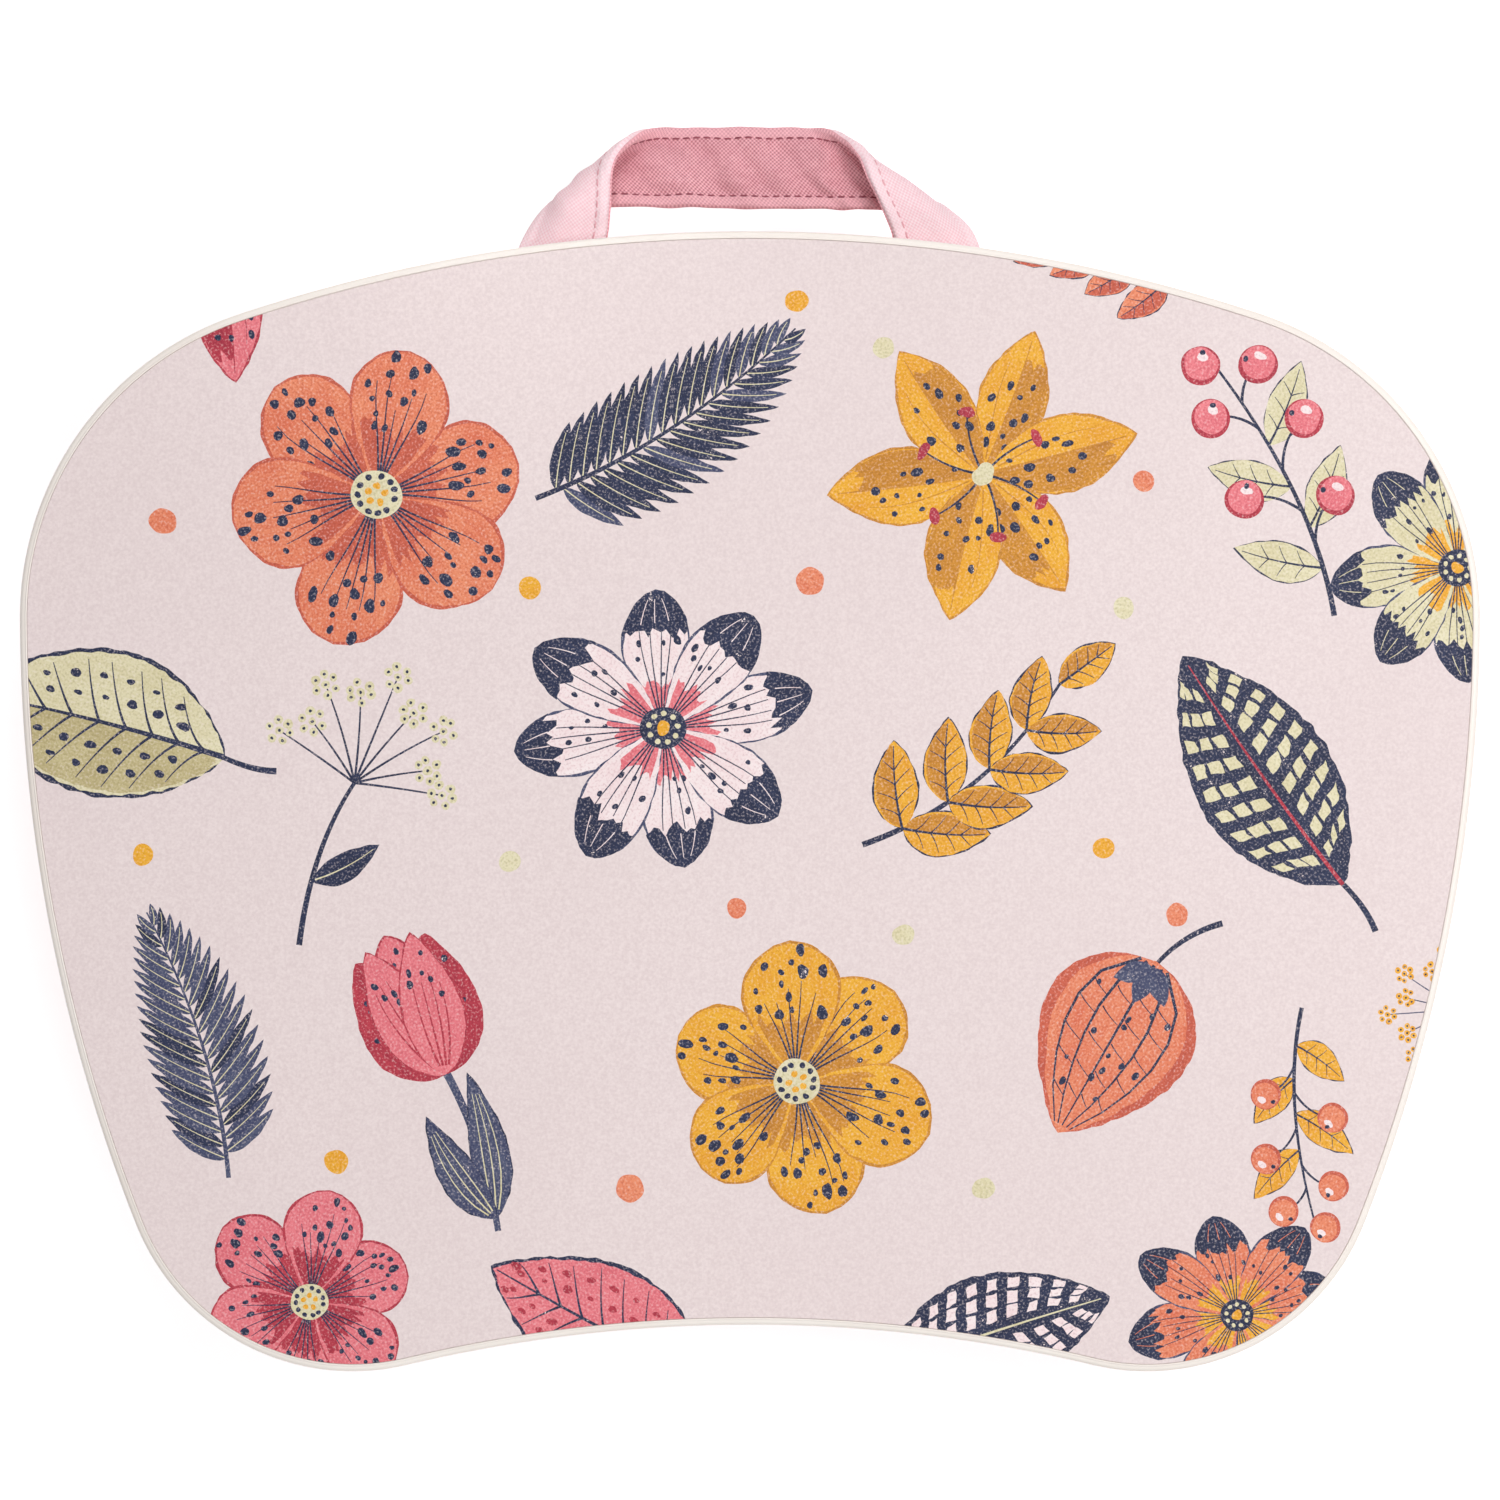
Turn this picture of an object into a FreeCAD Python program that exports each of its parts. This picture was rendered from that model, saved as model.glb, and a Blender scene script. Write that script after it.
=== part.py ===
import FreeCAD, Part
import math
import os

Vector = FreeCAD.Vector
up = Vector(0, 0, 1)

# Board outline from above: two front lobes with a hollow for the body, and a bowed back
board_width = 438.0
board_depth = 342.0
widest_line = 56.5  # how far behind the middle the board is widest
side_radius = 500.0
shoulder_radius = 96.0
back_radius = 486.0
corner_radius = 70.0
front_hollow = 14.0

# Board layers
core_thickness = 8.0
print_thickness = 0.6
backer_thickness = 0.4

# Edge moulding, a rounded lip with a barbed tongue in a groove of the core
lip_width = 2.3
lip_rounding = 2.0
lip_steps = 4  # straight steps round each rounding
tongue_thickness = 1.6
tongue_depth = 6.0
barb_height = 0.4
barb_count = 2
groove_clearance = 0.15
edge_clearance = 0.05  # between the lip and the board's cut edge

# Cushion: a bulging side band between a flat top panel and a crowned base
cushion_height = 55.0
cushion_setback = 12.0  # from the board's edge to the cushion's widest line
girth_height = 34.0
band_radius = 42.0
base_seam_height = 14.0
crown_width = 46.0  # from the cushion's widest line to where the base is level
rest_flat_depth = 0.5  # how much of the crown is pressed flat where it rests
cover_thickness = 0.8
filling_gap = 0.3
panel_steps = 4  # straight steps that follow each curve of the cover's section
filling_steps = 2

# Strap handle: two sewn layers that lean in, fold right over and meet in a level grip
strap_width = 25.0
strap_layer = 0.8
strap_spacing = 94.3  # between the inner edges where the strap leaves the seam
strap_lean = 12.5  # degrees towards the middle
handle_reach = 32.0  # how far the grip stands out behind the board
fold_radius = 6.4
fold_steps = 9
layer_gap = 0.05
strap_tail_length = 18.0
strap_clearance = 0.2

# Staples that hold the top panel and the strap's tails to the board
staple_crown = 11.0
staple_wire = 0.6
staple_bite = 6.0  # how deep the legs go into the core
staple_ring_inset = 30.0  # from the cushion's widest line
staple_count = 26
tail_staple_count = 2

overrun = 1.0

# Levels, from the surface that the cushion rests on
panel_underside = cushion_height - cover_thickness
core_bottom = cushion_height + backer_thickness
core_top = core_bottom + core_thickness
board_top = core_top + print_thickness
board_inset = lip_width + edge_clearance
level_inset = cushion_setback + crown_width
strap_thickness = 2 * strap_layer
tail_start = strap_layer + strap_clearance  # forward of the hinge line, clear of the turning end
strap_level = panel_underside - strap_layer  # between the two layers
filling_top = panel_underside - strap_thickness - staple_wire - filling_gap


def bearing(start, end):
    return math.atan2(end.y - start.y, end.x - start.x)


def polar(centre, radius, angle, height=0):
    return Vector(centre.x + radius * math.cos(angle), centre.y + radius * math.sin(angle), height)


def circle_meeting(first, first_radius, second, second_radius):
    # the meeting point that lies to the right of the line from the first centre to the second
    between = second - first
    along = (first_radius**2 - second_radius**2 + between.Length**2) / (2 * between.Length)
    aside = math.sqrt(first_radius**2 - along**2)
    forward = between / between.Length
    return first + forward * along + forward.cross(up) * aside


def board_outline():
    # tangent arcs, anticlockwise from the front hollow: centre, radius, start, sweep, and -1 if hollow
    half_depth = board_depth / 2
    side = Vector(board_width / 2 - side_radius, widest_line, 0)
    back = Vector(0, half_depth - back_radius, 0)
    shoulder = circle_meeting(back, back_radius - shoulder_radius, side, side_radius - shoulder_radius)
    corner_line = corner_radius - half_depth
    corner_run = math.sqrt((side_radius - corner_radius) ** 2 - (corner_line - widest_line) ** 2)
    corner = Vector(side.x + corner_run, corner_line, 0)
    rise = corner_radius - front_hollow
    front_radius = (corner.x**2 + rise**2 - corner_radius**2) / (2 * front_hollow)
    front = Vector(0, front_hollow - half_depth - front_radius, 0)

    turns = [bearing(corner, front), bearing(side, corner), bearing(side, shoulder), bearing(back, shoulder)]
    bends = [(corner, corner_radius), (side, side_radius), (shoulder, shoulder_radius)]
    front_turn = bearing(front, corner)
    arcs = [(front, front_radius, math.pi - front_turn, 2 * front_turn - math.pi, -1)]
    for (centre, radius), start, end in zip(bends, turns, turns[1:]):
        arcs.append((centre, radius, start, end - start, 1))
    arcs.append((back, back_radius, turns[-1], math.pi - 2 * turns[-1], 1))
    for centre, radius, start, sweep, hollow in reversed(arcs[1:-1]):
        arcs.append((Vector(-centre.x, centre.y, 0), radius, math.pi - start - sweep, sweep, hollow))
    return arcs


def outline_wire(inset, height):
    edges = []
    for centre, radius, start, sweep, hollow in outline:
        reach = radius - hollow * inset
        points = [polar(centre, reach, start + sweep * share, height) for share in (0, 0.5, 1)]
        edges.append(Part.Arc(*points).toShape())
    return Part.Wire(edges)


def plate(inset, bottom, thickness):
    return Part.Face(outline_wire(inset, bottom)).extrude(up * thickness)


def rim(profile):
    # a closed profile of (inset, height) corners, carried round the outline
    stretches = []
    for centre, radius, start, sweep, hollow in outline:
        corners = [polar(centre, radius - hollow * inset, start, height) for inset, height in profile]
        section = Part.Face(Part.makePolygon(corners + corners[:1]))
        stretches.append(section.revolve(centre, up, math.degrees(sweep)))
    return stretches[0].multiFuse(stretches[1:]).removeSplitter()


def arc_inset(arc, height):
    # where an arc of a section, given by centre inset, centre height and radius, lies at a height
    inset, level, radius = arc
    return inset - math.sqrt(radius**2 - (height - level) ** 2)


def arc_points(arc, first, second, steps):
    # points on such an arc from one height to another, an even turn apart
    inset, level, radius = arc
    start, end = (math.asin((height - level) / radius) for height in (first, second))
    angles = [start + (end - start) * step / steps for step in range(steps + 1)]
    return [(inset - radius * math.cos(angle), level + radius * math.sin(angle)) for angle in angles]


def band_arc(depth):
    return cushion_setback + band_radius, girth_height, band_radius - depth


def crown_arc(depth):
    seam_inset = arc_inset(band_arc(0), base_seam_height)
    drop = base_seam_height + rest_flat_depth
    radius = ((level_inset - seam_inset) ** 2 + drop**2) / (2 * drop)
    return level_inset, radius - rest_flat_depth, radius - depth


def staple(leg):
    # a flat-crowned staple that points up, its crown's top at zero, drawn as one bent strip
    half = staple_crown / 2
    inner = half - staple_wire
    path = [(-half, -staple_wire), (half, -staple_wire), (half, leg), (inner, leg), (inner, 0)]
    path += [(-inner, 0), (-inner, leg), (-half, leg), (-half, -staple_wire)]
    corners = [Vector(x, -staple_wire / 2, z) for x, z in path]
    return Part.Face(Part.makePolygon(corners)).extrude(Vector(0, staple_wire, 0))


def board_core():
    groove_height = tongue_thickness + 2 * (barb_height + groove_clearance)
    groove_bottom = (cushion_height + board_top - groove_height) / 2
    groove = plate(board_inset - overrun, groove_bottom, groove_height)
    groove = groove.cut(plate(lip_width + tongue_depth + groove_clearance, groove_bottom, groove_height))
    return plate(board_inset, core_bottom, core_thickness).cut(groove)


def edge_moulding():
    middle = (cushion_height + board_top) / 2
    half_tongue = tongue_thickness / 2
    barb_run = tongue_depth / barb_count
    barbs = []
    for number in range(barb_count):
        barbs.append((lip_width + number * barb_run, half_tongue + barb_height * min(number, 1)))
        barbs.append((lip_width + (number + 1) * barb_run, half_tongue))
    upper = [(inset, middle + height) for inset, height in barbs]
    lower = [(inset, middle - height) for inset, height in reversed(barbs)]
    low, high = cushion_height + lip_rounding, board_top - lip_rounding
    foot = arc_points((lip_rounding, low, lip_rounding), cushion_height, low, lip_steps)
    head = arc_points((lip_rounding, high, lip_rounding), high, board_top, lip_steps)
    return rim([(lip_width, board_top), *upper, *lower, (lip_width, cushion_height), *foot, *head])


def cushion_top_panel():
    return plate(seam_inset_at_top, panel_underside, cover_thickness)


def cushion_side_band():
    outer = arc_points(band_arc(0), base_seam_height, panel_underside, panel_steps)
    inner = arc_points(band_arc(cover_thickness), panel_underside, base_seam_height, panel_steps)
    band = rim(outer + inner)
    for side in (-1, 1):
        band = band.cut(strap_slot(side))
    return band


def cushion_base_panel():
    outer = arc_points(crown_arc(0), base_seam_height, 0, panel_steps)
    inner = arc_points(crown_arc(cover_thickness), cover_thickness, base_seam_height, panel_steps)
    crown = rim([*outer, (level_inset, 0), (level_inset, cover_thickness), *inner])
    return crown.fuse(plate(level_inset, 0, cover_thickness)).removeSplitter()


def bead_fill():
    depth = cover_thickness + filling_gap
    band, crown = band_arc(depth), crown_arc(depth)
    seam = circle_meeting(Vector(*crown[:2]), crown[2], Vector(*band[:2]), band[2]).y
    side = arc_points(band, filling_top, seam, filling_steps)
    base = arc_points(crown, seam, depth, filling_steps)
    edge = rim([*side[:-1], *base, (level_inset, depth), (level_inset, filling_top)])
    return edge.fuse(plate(level_inset, depth, filling_top - depth)).removeSplitter()


def strap_stretch(side, near, far, clearance):
    # a flat stretch of strap under the top panel, between two distances forward of the hinge line
    lean = math.radians(strap_lean)
    inner = strap_spacing / 2 - clearance
    outer = strap_spacing / 2 + strap_width / math.cos(lean) + clearance
    corners = []
    for across, along in ((inner, near), (outer, near), (outer, far), (inner, far), (inner, near)):
        corners.append(Vector(side * (across + along * math.tan(lean)), hinge_line - along, panel_underside))
    return Part.Face(Part.makePolygon(corners)).extrude(up * -(strap_thickness + clearance))


def strap_tail(side):
    return strap_stretch(side, tail_start, tail_start + strap_tail_length, 0)


def strap_slot(side):
    return strap_stretch(side, 0, tail_start + strap_tail_length, strap_clearance)


def strap_staples():
    lean = math.radians(strap_lean)
    middle = strap_spacing / 2 + strap_width / (2 * math.cos(lean))
    spacing = strap_tail_length / tail_staple_count
    drop = panel_underside - strap_thickness
    pieces = []
    for side in (-1, 1):
        for number in range(tail_staple_count):
            along = tail_start + (number + 0.5) * spacing
            piece = staple(core_bottom + staple_bite - drop)
            piece.rotate(Vector(), up, side * strap_lean)
            piece.translate(Vector(side * (middle + along * math.tan(lean)), hinge_line - along, drop))
            pieces.append(piece)
    return Part.makeCompound(pieces)


def panel_staples():
    inset = cushion_setback + staple_ring_inset
    spans = [(radius - hollow * inset) * abs(sweep) for _, radius, _, sweep, hollow in outline]
    step = sum(spans) / staple_count
    pieces = []
    for number in range(staple_count):
        distance = (number + 0.5) * step
        for (centre, radius, start, sweep, hollow), span in zip(outline, spans):
            if distance <= span:
                break
            distance -= span
        angle = start + sweep * distance / span
        piece = staple(core_bottom + staple_bite - panel_underside)
        piece.rotate(Vector(), up, math.degrees(angle) + 90)
        piece.translate(polar(centre, radius - hollow * inset, angle, panel_underside))
        pieces.append(piece)
    return Part.makeCompound(pieces)


def strap_rulings():
    # straight lines across the strap, each an inner point, an outer point and the outward normal,
    # from the right-hand hinge line through the fold to the end of the level grip, then mirrored
    lean = math.radians(strap_lean)
    slant = (math.pi / 2 - lean) / 2  # folding on this slant turns the strap's heading along the board
    heading = Vector(-math.sin(lean), math.cos(lean), 0)
    rule = Vector(-math.cos(slant), math.sin(slant), 0)
    outward = Vector(math.sin(slant), math.cos(slant), 0)
    across, along = heading.dot(outward), heading.dot(rule)

    def bent(angle):
        run = rule * (fold_radius * angle * along / across)
        return run + outward * (fold_radius * math.sin(angle)) - up * (fold_radius * (1 - math.cos(angle)))

    inner = Vector(strap_spacing / 2, hinge_line, strap_level)
    outer = inner + Vector(strap_width / math.cos(lean), 0, 0)
    run = board_depth / 2 + handle_reach - hinge_line - bent(math.pi).y
    inner_start = inner + heading * (run / heading.y)
    outer_start = outer + heading * ((inner_start - outer).dot(outward) / across)
    rulings = [(inner, outer, up)]
    for step in range(fold_steps + 1):
        angle = math.pi * step / fold_steps
        normal = up * math.cos(angle) + outward * math.sin(angle)
        rulings.append((inner_start + bent(angle), outer_start + bent(angle), normal))
    mirrored = []
    for ruling in reversed(rulings):
        mirrored.append(tuple(Vector(-point.x, point.y, point.z) for point in ruling))
    middle = tuple(Vector(0, point.y, point.z) for point in rulings[-1])
    return rulings + [middle] + mirrored


def strap_sheet(low, high):
    # one layer of the strap, between two distances from the middle surface, in flat facets
    sections = []
    for inner, outer, normal in strap_rulings():
        near, far = normal * low, normal * high
        sections.append([inner + near, outer + near, outer + far, inner + far])
    facets = [sections[0], sections[-1]]
    for section, following in zip(sections, sections[1:]):
        for corner in range(len(section)):
            facets.append([section[corner - 1], section[corner], following[corner]])
            facets.append([section[corner - 1], following[corner], following[corner - 1]])
    faces = [Part.Face(Part.makePolygon(facet + facet[:1])) for facet in facets]
    return Part.Solid(Part.Shell(faces)).removeSplitter()


outline = board_outline()
seam_inset_at_top = arc_inset(band_arc(0), panel_underside)
seam_reach = back_radius - seam_inset_at_top
seam_rise = math.sqrt(seam_reach**2 - (strap_spacing / 2) ** 2)
hinge_line = board_depth / 2 - back_radius + seam_rise + strap_thickness

shapes = {
    "printed_top": plate(board_inset, core_top, print_thickness),
    "board_core": board_core(),
    "underside_sheet": plate(board_inset, cushion_height, backer_thickness),
    "edge_moulding": edge_moulding(),
    "cushion_top_panel": cushion_top_panel(),
    "cushion_side_band": cushion_side_band(),
    "cushion_base_panel": cushion_base_panel(),
    "bead_fill": bead_fill(),
    "panel_staples": panel_staples(),
    "strap_tail_left": strap_tail(-1),
    "strap_tail_right": strap_tail(1),
    "strap_staples": strap_staples(),
    "handle_face": strap_sheet(layer_gap / 2, strap_layer),
    "handle_lining": strap_sheet(-strap_layer, -layer_gap / 2),
}

os.makedirs("parts", exist_ok=True)
for name, shape in shapes.items():
    shape.exportStep(f"parts/{name}.step")
    print(name, len(shape.Solids), round(shape.Volume), shape.isValid())
print("hinge line", round(hinge_line, 3), "strap level", round(strap_level, 3))
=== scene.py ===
import math
import random

import bmesh
import bpy
import numpy as np
from mathutils import Matrix, Vector, noise
from mathutils.bvhtree import BVHTree
from mathutils.geometry import delaunay_2d_cdt
from mathutils.kdtree import KDTree


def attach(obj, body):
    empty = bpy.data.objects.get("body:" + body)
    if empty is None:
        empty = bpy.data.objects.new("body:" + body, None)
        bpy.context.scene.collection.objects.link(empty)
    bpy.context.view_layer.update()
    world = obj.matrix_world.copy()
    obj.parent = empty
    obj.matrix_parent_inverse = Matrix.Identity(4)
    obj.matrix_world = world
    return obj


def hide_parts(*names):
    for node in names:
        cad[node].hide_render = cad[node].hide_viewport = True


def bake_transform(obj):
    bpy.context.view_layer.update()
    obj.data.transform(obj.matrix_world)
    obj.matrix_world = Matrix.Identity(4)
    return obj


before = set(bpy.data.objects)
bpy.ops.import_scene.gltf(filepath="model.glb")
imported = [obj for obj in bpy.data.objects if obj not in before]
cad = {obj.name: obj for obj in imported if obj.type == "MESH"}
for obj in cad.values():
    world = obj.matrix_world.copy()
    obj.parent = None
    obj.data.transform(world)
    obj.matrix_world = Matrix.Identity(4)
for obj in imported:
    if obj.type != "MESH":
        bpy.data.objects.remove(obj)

scene = bpy.context.scene
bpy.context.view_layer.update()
mm = 0.001
upright = math.pi / 2
print("frame loaded:", len(cad), "nodes")


def srgb(red, green, blue):
    linear = []
    for share in (red / 255, green / 255, blue / 255):
        linear.append(share / 12.92 if share <= 0.04045 else ((share + 0.055) / 1.055) ** 2.4)
    return (*linear, 1.0)


def ramp(value, start, length):
    share = min(1.0, max(0.0, (value - start) / length))
    return share * share * (3 - 2 * share)


def hump(value, centre, width):
    return math.exp(-(((value - centre) / width) ** 2))


def stray(x, y, z):
    return noise.noise(Vector((x, y, z)))


def polar(reach, angle, at=(0, 0)):
    return at[0] + reach * math.cos(angle), at[1] + reach * math.sin(angle)


def newPiece(name, verts, faces, scale=mm):
    mesh = bpy.data.meshes.new(name)
    mesh.from_pydata([Vector(v) * scale for v in verts], [], faces)
    mesh.update()
    piece = bpy.data.objects.new(name, mesh)
    scene.collection.objects.link(piece)
    return piece


def ringFaces(first, rings, sides, closed=False):
    # quads between rings of points that follow each other, with end caps unless the last meets the first
    faces = []
    for ring in range(rings if closed else rings - 1):
        here, there = first + ring * sides, first + (ring + 1) % rings * sides
        for side in range(sides):
            ahead = (side + 1) % sides
            faces.append((here + side, here + ahead, there + ahead, there + side))
    if not closed:
        faces.append(tuple(first + side for side in reversed(range(sides))))
        faces.append(tuple(first + (rings - 1) * sides + side for side in range(sides)))
    return faces


def faceOutward(piece):
    form = bmesh.new()
    form.from_mesh(piece.data)
    bmesh.ops.recalc_face_normals(form, faces=form.faces)
    form.to_mesh(piece.data)
    form.free()


def smoothShade(piece, degrees):
    piece.data.shade_smooth()
    piece.data.set_sharp_from_angle(angle=math.radians(degrees))


# outline of the tray, the same tangent arcs as the solids, in millimetres
trayShape = {
    "width": 438.0,
    "depth": 342.0,
    "widestLine": 56.5,
    "sideRadius": 500.0,
    "shoulderRadius": 96.0,
    "backRadius": 486.0,
    "cornerRadius": 70.0,
    "frontHollow": 14.0,
}


def bearing(start, end):
    return math.atan2(end.y - start.y, end.x - start.x)


def trayArcs(shape):
    half = shape["depth"] / 2
    sideRadius, shoulderRadius = shape["sideRadius"], shape["shoulderRadius"]
    backRadius, cornerRadius = shape["backRadius"], shape["cornerRadius"]
    side = Vector((shape["width"] / 2 - sideRadius, shape["widestLine"]))
    back = Vector((0, half - backRadius))
    reachOne, reachTwo = backRadius - shoulderRadius, sideRadius - shoulderRadius
    between = side - back
    along = (reachOne**2 - reachTwo**2 + between.length_squared) / (2 * between.length)
    aside = math.sqrt(reachOne**2 - along**2)
    ahead = between.normalized()
    shoulder = back + ahead * along + Vector((ahead.y, -ahead.x)) * aside
    cornerY = cornerRadius - half
    cornerX = side.x + math.sqrt((sideRadius - cornerRadius) ** 2 - (cornerY - side.y) ** 2)
    corner = Vector((cornerX, cornerY))
    rise = cornerRadius - shape["frontHollow"]
    frontRadius = (corner.x**2 + rise**2 - cornerRadius**2) / (2 * shape["frontHollow"])
    front = Vector((0, shape["frontHollow"] - half - frontRadius))
    turns = [bearing(corner, front), bearing(side, corner), bearing(side, shoulder), bearing(back, shoulder)]
    bends = [(corner, cornerRadius), (side, sideRadius), (shoulder, shoulderRadius)]
    frontTurn = bearing(front, corner)
    arcs = [(front, frontRadius, math.pi - frontTurn, 2 * frontTurn - math.pi, -1)]
    for (centre, radius), start, end in zip(bends, turns, turns[1:]):
        arcs.append((centre, radius, start, end - start, 1))
    arcs.append((back, backRadius, turns[-1], math.pi - 2 * turns[-1], 1))
    for centre, radius, start, sweep, hollow in reversed(arcs[1:-1]):
        arcs.append((Vector((-centre.x, centre.y)), radius, math.pi - start - sweep, sweep, hollow))
    return arcs


def makeStations(spacing):
    stations = []
    for centre, radius, start, sweep, hollow in trayArcs(trayShape):
        count = max(3, round(radius * abs(sweep) / spacing))
        for step in range(count):
            stations.append((centre, radius, start + sweep * step / count, hollow))
    return stations


def ringAt(stations, inset):
    return [polar(radius - hollow * inset, angle, centre) for centre, radius, angle, hollow in stations]


def sweepRings(name, stations, profile, closed):
    # profile of (inset, height) points carried round the tray's outline
    verts = [(x, y, height) for inset, height in profile for x, y in ringAt(stations, inset)]
    return newPiece(name, verts, ringFaces(0, len(profile), len(stations), closed))


# shader helpers
def addNode(tree, kind, settings=(), inputs=()):
    node = tree.nodes.new(kind)
    for key, value in dict(settings).items():
        setattr(node, key, value)
    for key, value in dict(inputs).items():
        if isinstance(value, bpy.types.NodeSocket):
            tree.links.new(value, node.inputs[key])
        else:
            node.inputs[key].default_value = value
    return node


def calc(tree, operation, first, second=0.0, third=0.0):
    values = {0: first, 1: second, 2: third}
    return addNode(tree, "ShaderNodeMath", {"operation": operation}, values).outputs[0]


def weighed(tree, *parts):
    # sum of values, each times its weight
    total = 0.0
    for value, weight in parts:
        total = calc(tree, "MULTIPLY_ADD", value, weight, total)
    return total


def spread(tree, value, low, high, toLow=0.0, toHigh=1.0):
    values = {"Value": value, "From Min": low, "From Max": high, "To Min": toLow, "To Max": toHigh}
    return addNode(tree, "ShaderNodeMapRange", {}, values).outputs["Result"]


def mixTone(tree, share, first, second):
    return addNode(tree, "ShaderNodeMix", {"data_type": "RGBA"}, {0: share, 6: first, 7: second}).outputs[2]


def grainOf(tree, vector, scale, detail=2.0):
    values = {"Vector": vector, "Scale": scale, "Detail": detail}
    return addNode(tree, "ShaderNodeTexNoise", {}, values).outputs[0]


def stretched(tree, vector, scale):
    return addNode(tree, "ShaderNodeMapping", {}, {"Vector": vector, "Scale": scale}).outputs[0]


def startGroup(name, ins, outs):
    tree = bpy.data.node_groups.new(name, "ShaderNodeTree")
    for side, sockets in (("INPUT", ins), ("OUTPUT", outs)):
        for label, kind in sockets.items():
            tree.interface.new_socket(label, in_out=side, socket_type="NodeSocket" + kind)
    return tree, tree.nodes.new("NodeGroupInput").outputs, tree.nodes.new("NodeGroupOutput").inputs


def useGroup(tree, group, inputs):
    return addNode(tree, "ShaderNodeGroup", {"node_tree": group}, inputs).outputs


def makeInkGroup():
    # printed colour that pools, streaks along the brush and lets the ground through where it is dry
    ins = {"Vector": "Vector", "Ink": "Color", "Pool": "Color", "Ground": "Color", "Dryness": "Float"}
    tree, given, made = startGroup("stippledInk", ins, {"Color": "Color"})
    place, ground = given["Vector"], given["Ground"]
    stipple = grainOf(tree, place, 1.35)
    blotch = grainOf(tree, place, 0.07, 3.0)
    streak = grainOf(tree, stretched(tree, place, (0.09, 0.9, 1.0)), 1.0)
    pooling = weighed(tree, (blotch, 0.9), (streak, 0.6), (stipple, 0.75))
    colour = mixTone(tree, spread(tree, pooling, 0.9, 1.45), given["Ink"], given["Pool"])
    heavy = addNode(tree, "ShaderNodeHueSaturation", {}, {"Value": 0.8, "Color": given["Pool"]}).outputs[0]
    colour = mixTone(tree, spread(tree, stipple, 0.53, 0.68, 0.0, 0.6), colour, heavy)
    colour = mixTone(tree, spread(tree, stipple, 0.46, 0.3, 0.0, 0.35), colour, ground)
    bare = weighed(tree, (grainOf(tree, place, 0.22, 4.0), 1.0), (stipple, 0.8), (streak, 0.3))
    edge = calc(tree, "SUBTRACT", 1.55, given["Dryness"])
    dry = spread(tree, calc(tree, "SUBTRACT", bare, edge), 0.0, 0.08)
    tree.links.new(mixTone(tree, dry, colour, ground), made["Color"])
    return tree


def makePebbleGroup():
    # fine pebble of a pressed or moulded skin
    ins = {"Vector": "Vector", "Pitch": "Float"}
    tree, given, made = startGroup("pebbleGrain", ins, {"Height": "Float", "Shade": "Float"})
    fine = grainOf(tree, given["Vector"], given["Pitch"])
    values = {"Vector": given["Vector"], "Scale": given["Pitch"]}
    cells = addNode(tree, "ShaderNodeTexVoronoi", {"feature": "SMOOTH_F1"}, values).outputs[0]
    tree.links.new(weighed(tree, (fine, 0.6), (cells, 0.5)), made["Height"])
    tree.links.new(spread(tree, fine, 0.3, 0.7), made["Shade"])
    return tree


def makeWeaveGroup():
    # plain weave: warp over weft in a checker of small humps, with uneven yarn
    ins = {"Vector": "Vector", "Pitch": "Float"}
    tree, given, made = startGroup("plainWeave", ins, {"Height": "Float", "Shade": "Float"})
    axes = addNode(tree, "ShaderNodeSeparateXYZ", {}, {0: given["Vector"]}).outputs
    turn = calc(tree, "MULTIPLY", given["Pitch"], math.pi)
    warp, weft = (calc(tree, "SINE", calc(tree, "MULTIPLY", axes[axis], turn)) for axis in (0, 1))
    checker = spread(tree, calc(tree, "MULTIPLY", warp, weft), -1.0, 1.0)
    yarn = grainOf(tree, given["Vector"], calc(tree, "MULTIPLY", given["Pitch"], 0.35))
    height = weighed(tree, (checker, 1.0), (yarn, 0.5))
    tree.links.new(height, made["Height"])
    tree.links.new(spread(tree, height, 0.35, 1.15), made["Shade"])
    return tree


def makeMottleGroup():
    # slow drift of tone over a surface, such as handling and uneven dye
    ins = {"Vector": "Vector", "Tone": "Color", "Deep": "Color", "Pitch": "Float", "Amount": "Float"}
    tree, given, made = startGroup("toneDrift", ins, {"Color": "Color", "Mask": "Float"})
    drift = spread(tree, grainOf(tree, given["Vector"], given["Pitch"], 4.0), 0.35, 0.7)
    share = calc(tree, "MULTIPLY", drift, given["Amount"])
    tree.links.new(mixTone(tree, share, given["Tone"], given["Deep"]), made["Color"])
    tree.links.new(drift, made["Mask"])
    return tree


inkGroup, pebbleGroup = makeInkGroup(), makePebbleGroup()
weaveGroup, mottleGroup = makeWeaveGroup(), makeMottleGroup()


def startMaterial(name, roughness, uniform=()):
    material = bpy.data.materials.new(name)
    material.use_nodes = True
    tree = material.node_tree
    shader = tree.nodes["Principled BSDF"]
    shader.inputs["Roughness"].default_value = roughness
    for key, value in dict(uniform).items():
        shader.inputs[key].default_value = value
    return material, tree, shader


def placeOf(tree, uvName=None):
    if uvName:
        return addNode(tree, "ShaderNodeUVMap", {"uv_map": uvName}).outputs[0]
    return addNode(tree, "ShaderNodeTexCoord").outputs["Object"]


def driftMaterial(name, tones, roughness, pitch, amount, uniform=()):
    # a material whose colour drifts from its tone to a deeper one
    material, tree, shader = startMaterial(name, roughness, uniform)
    tone, deep = (srgb(*colour) for colour in tones)
    values = {"Vector": placeOf(tree), "Pitch": pitch, "Amount": amount, "Tone": tone, "Deep": deep}
    drift = useGroup(tree, mottleGroup, values)
    tree.links.new(drift["Color"], shader.inputs["Base Color"])
    return material, tree, shader, drift


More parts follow.
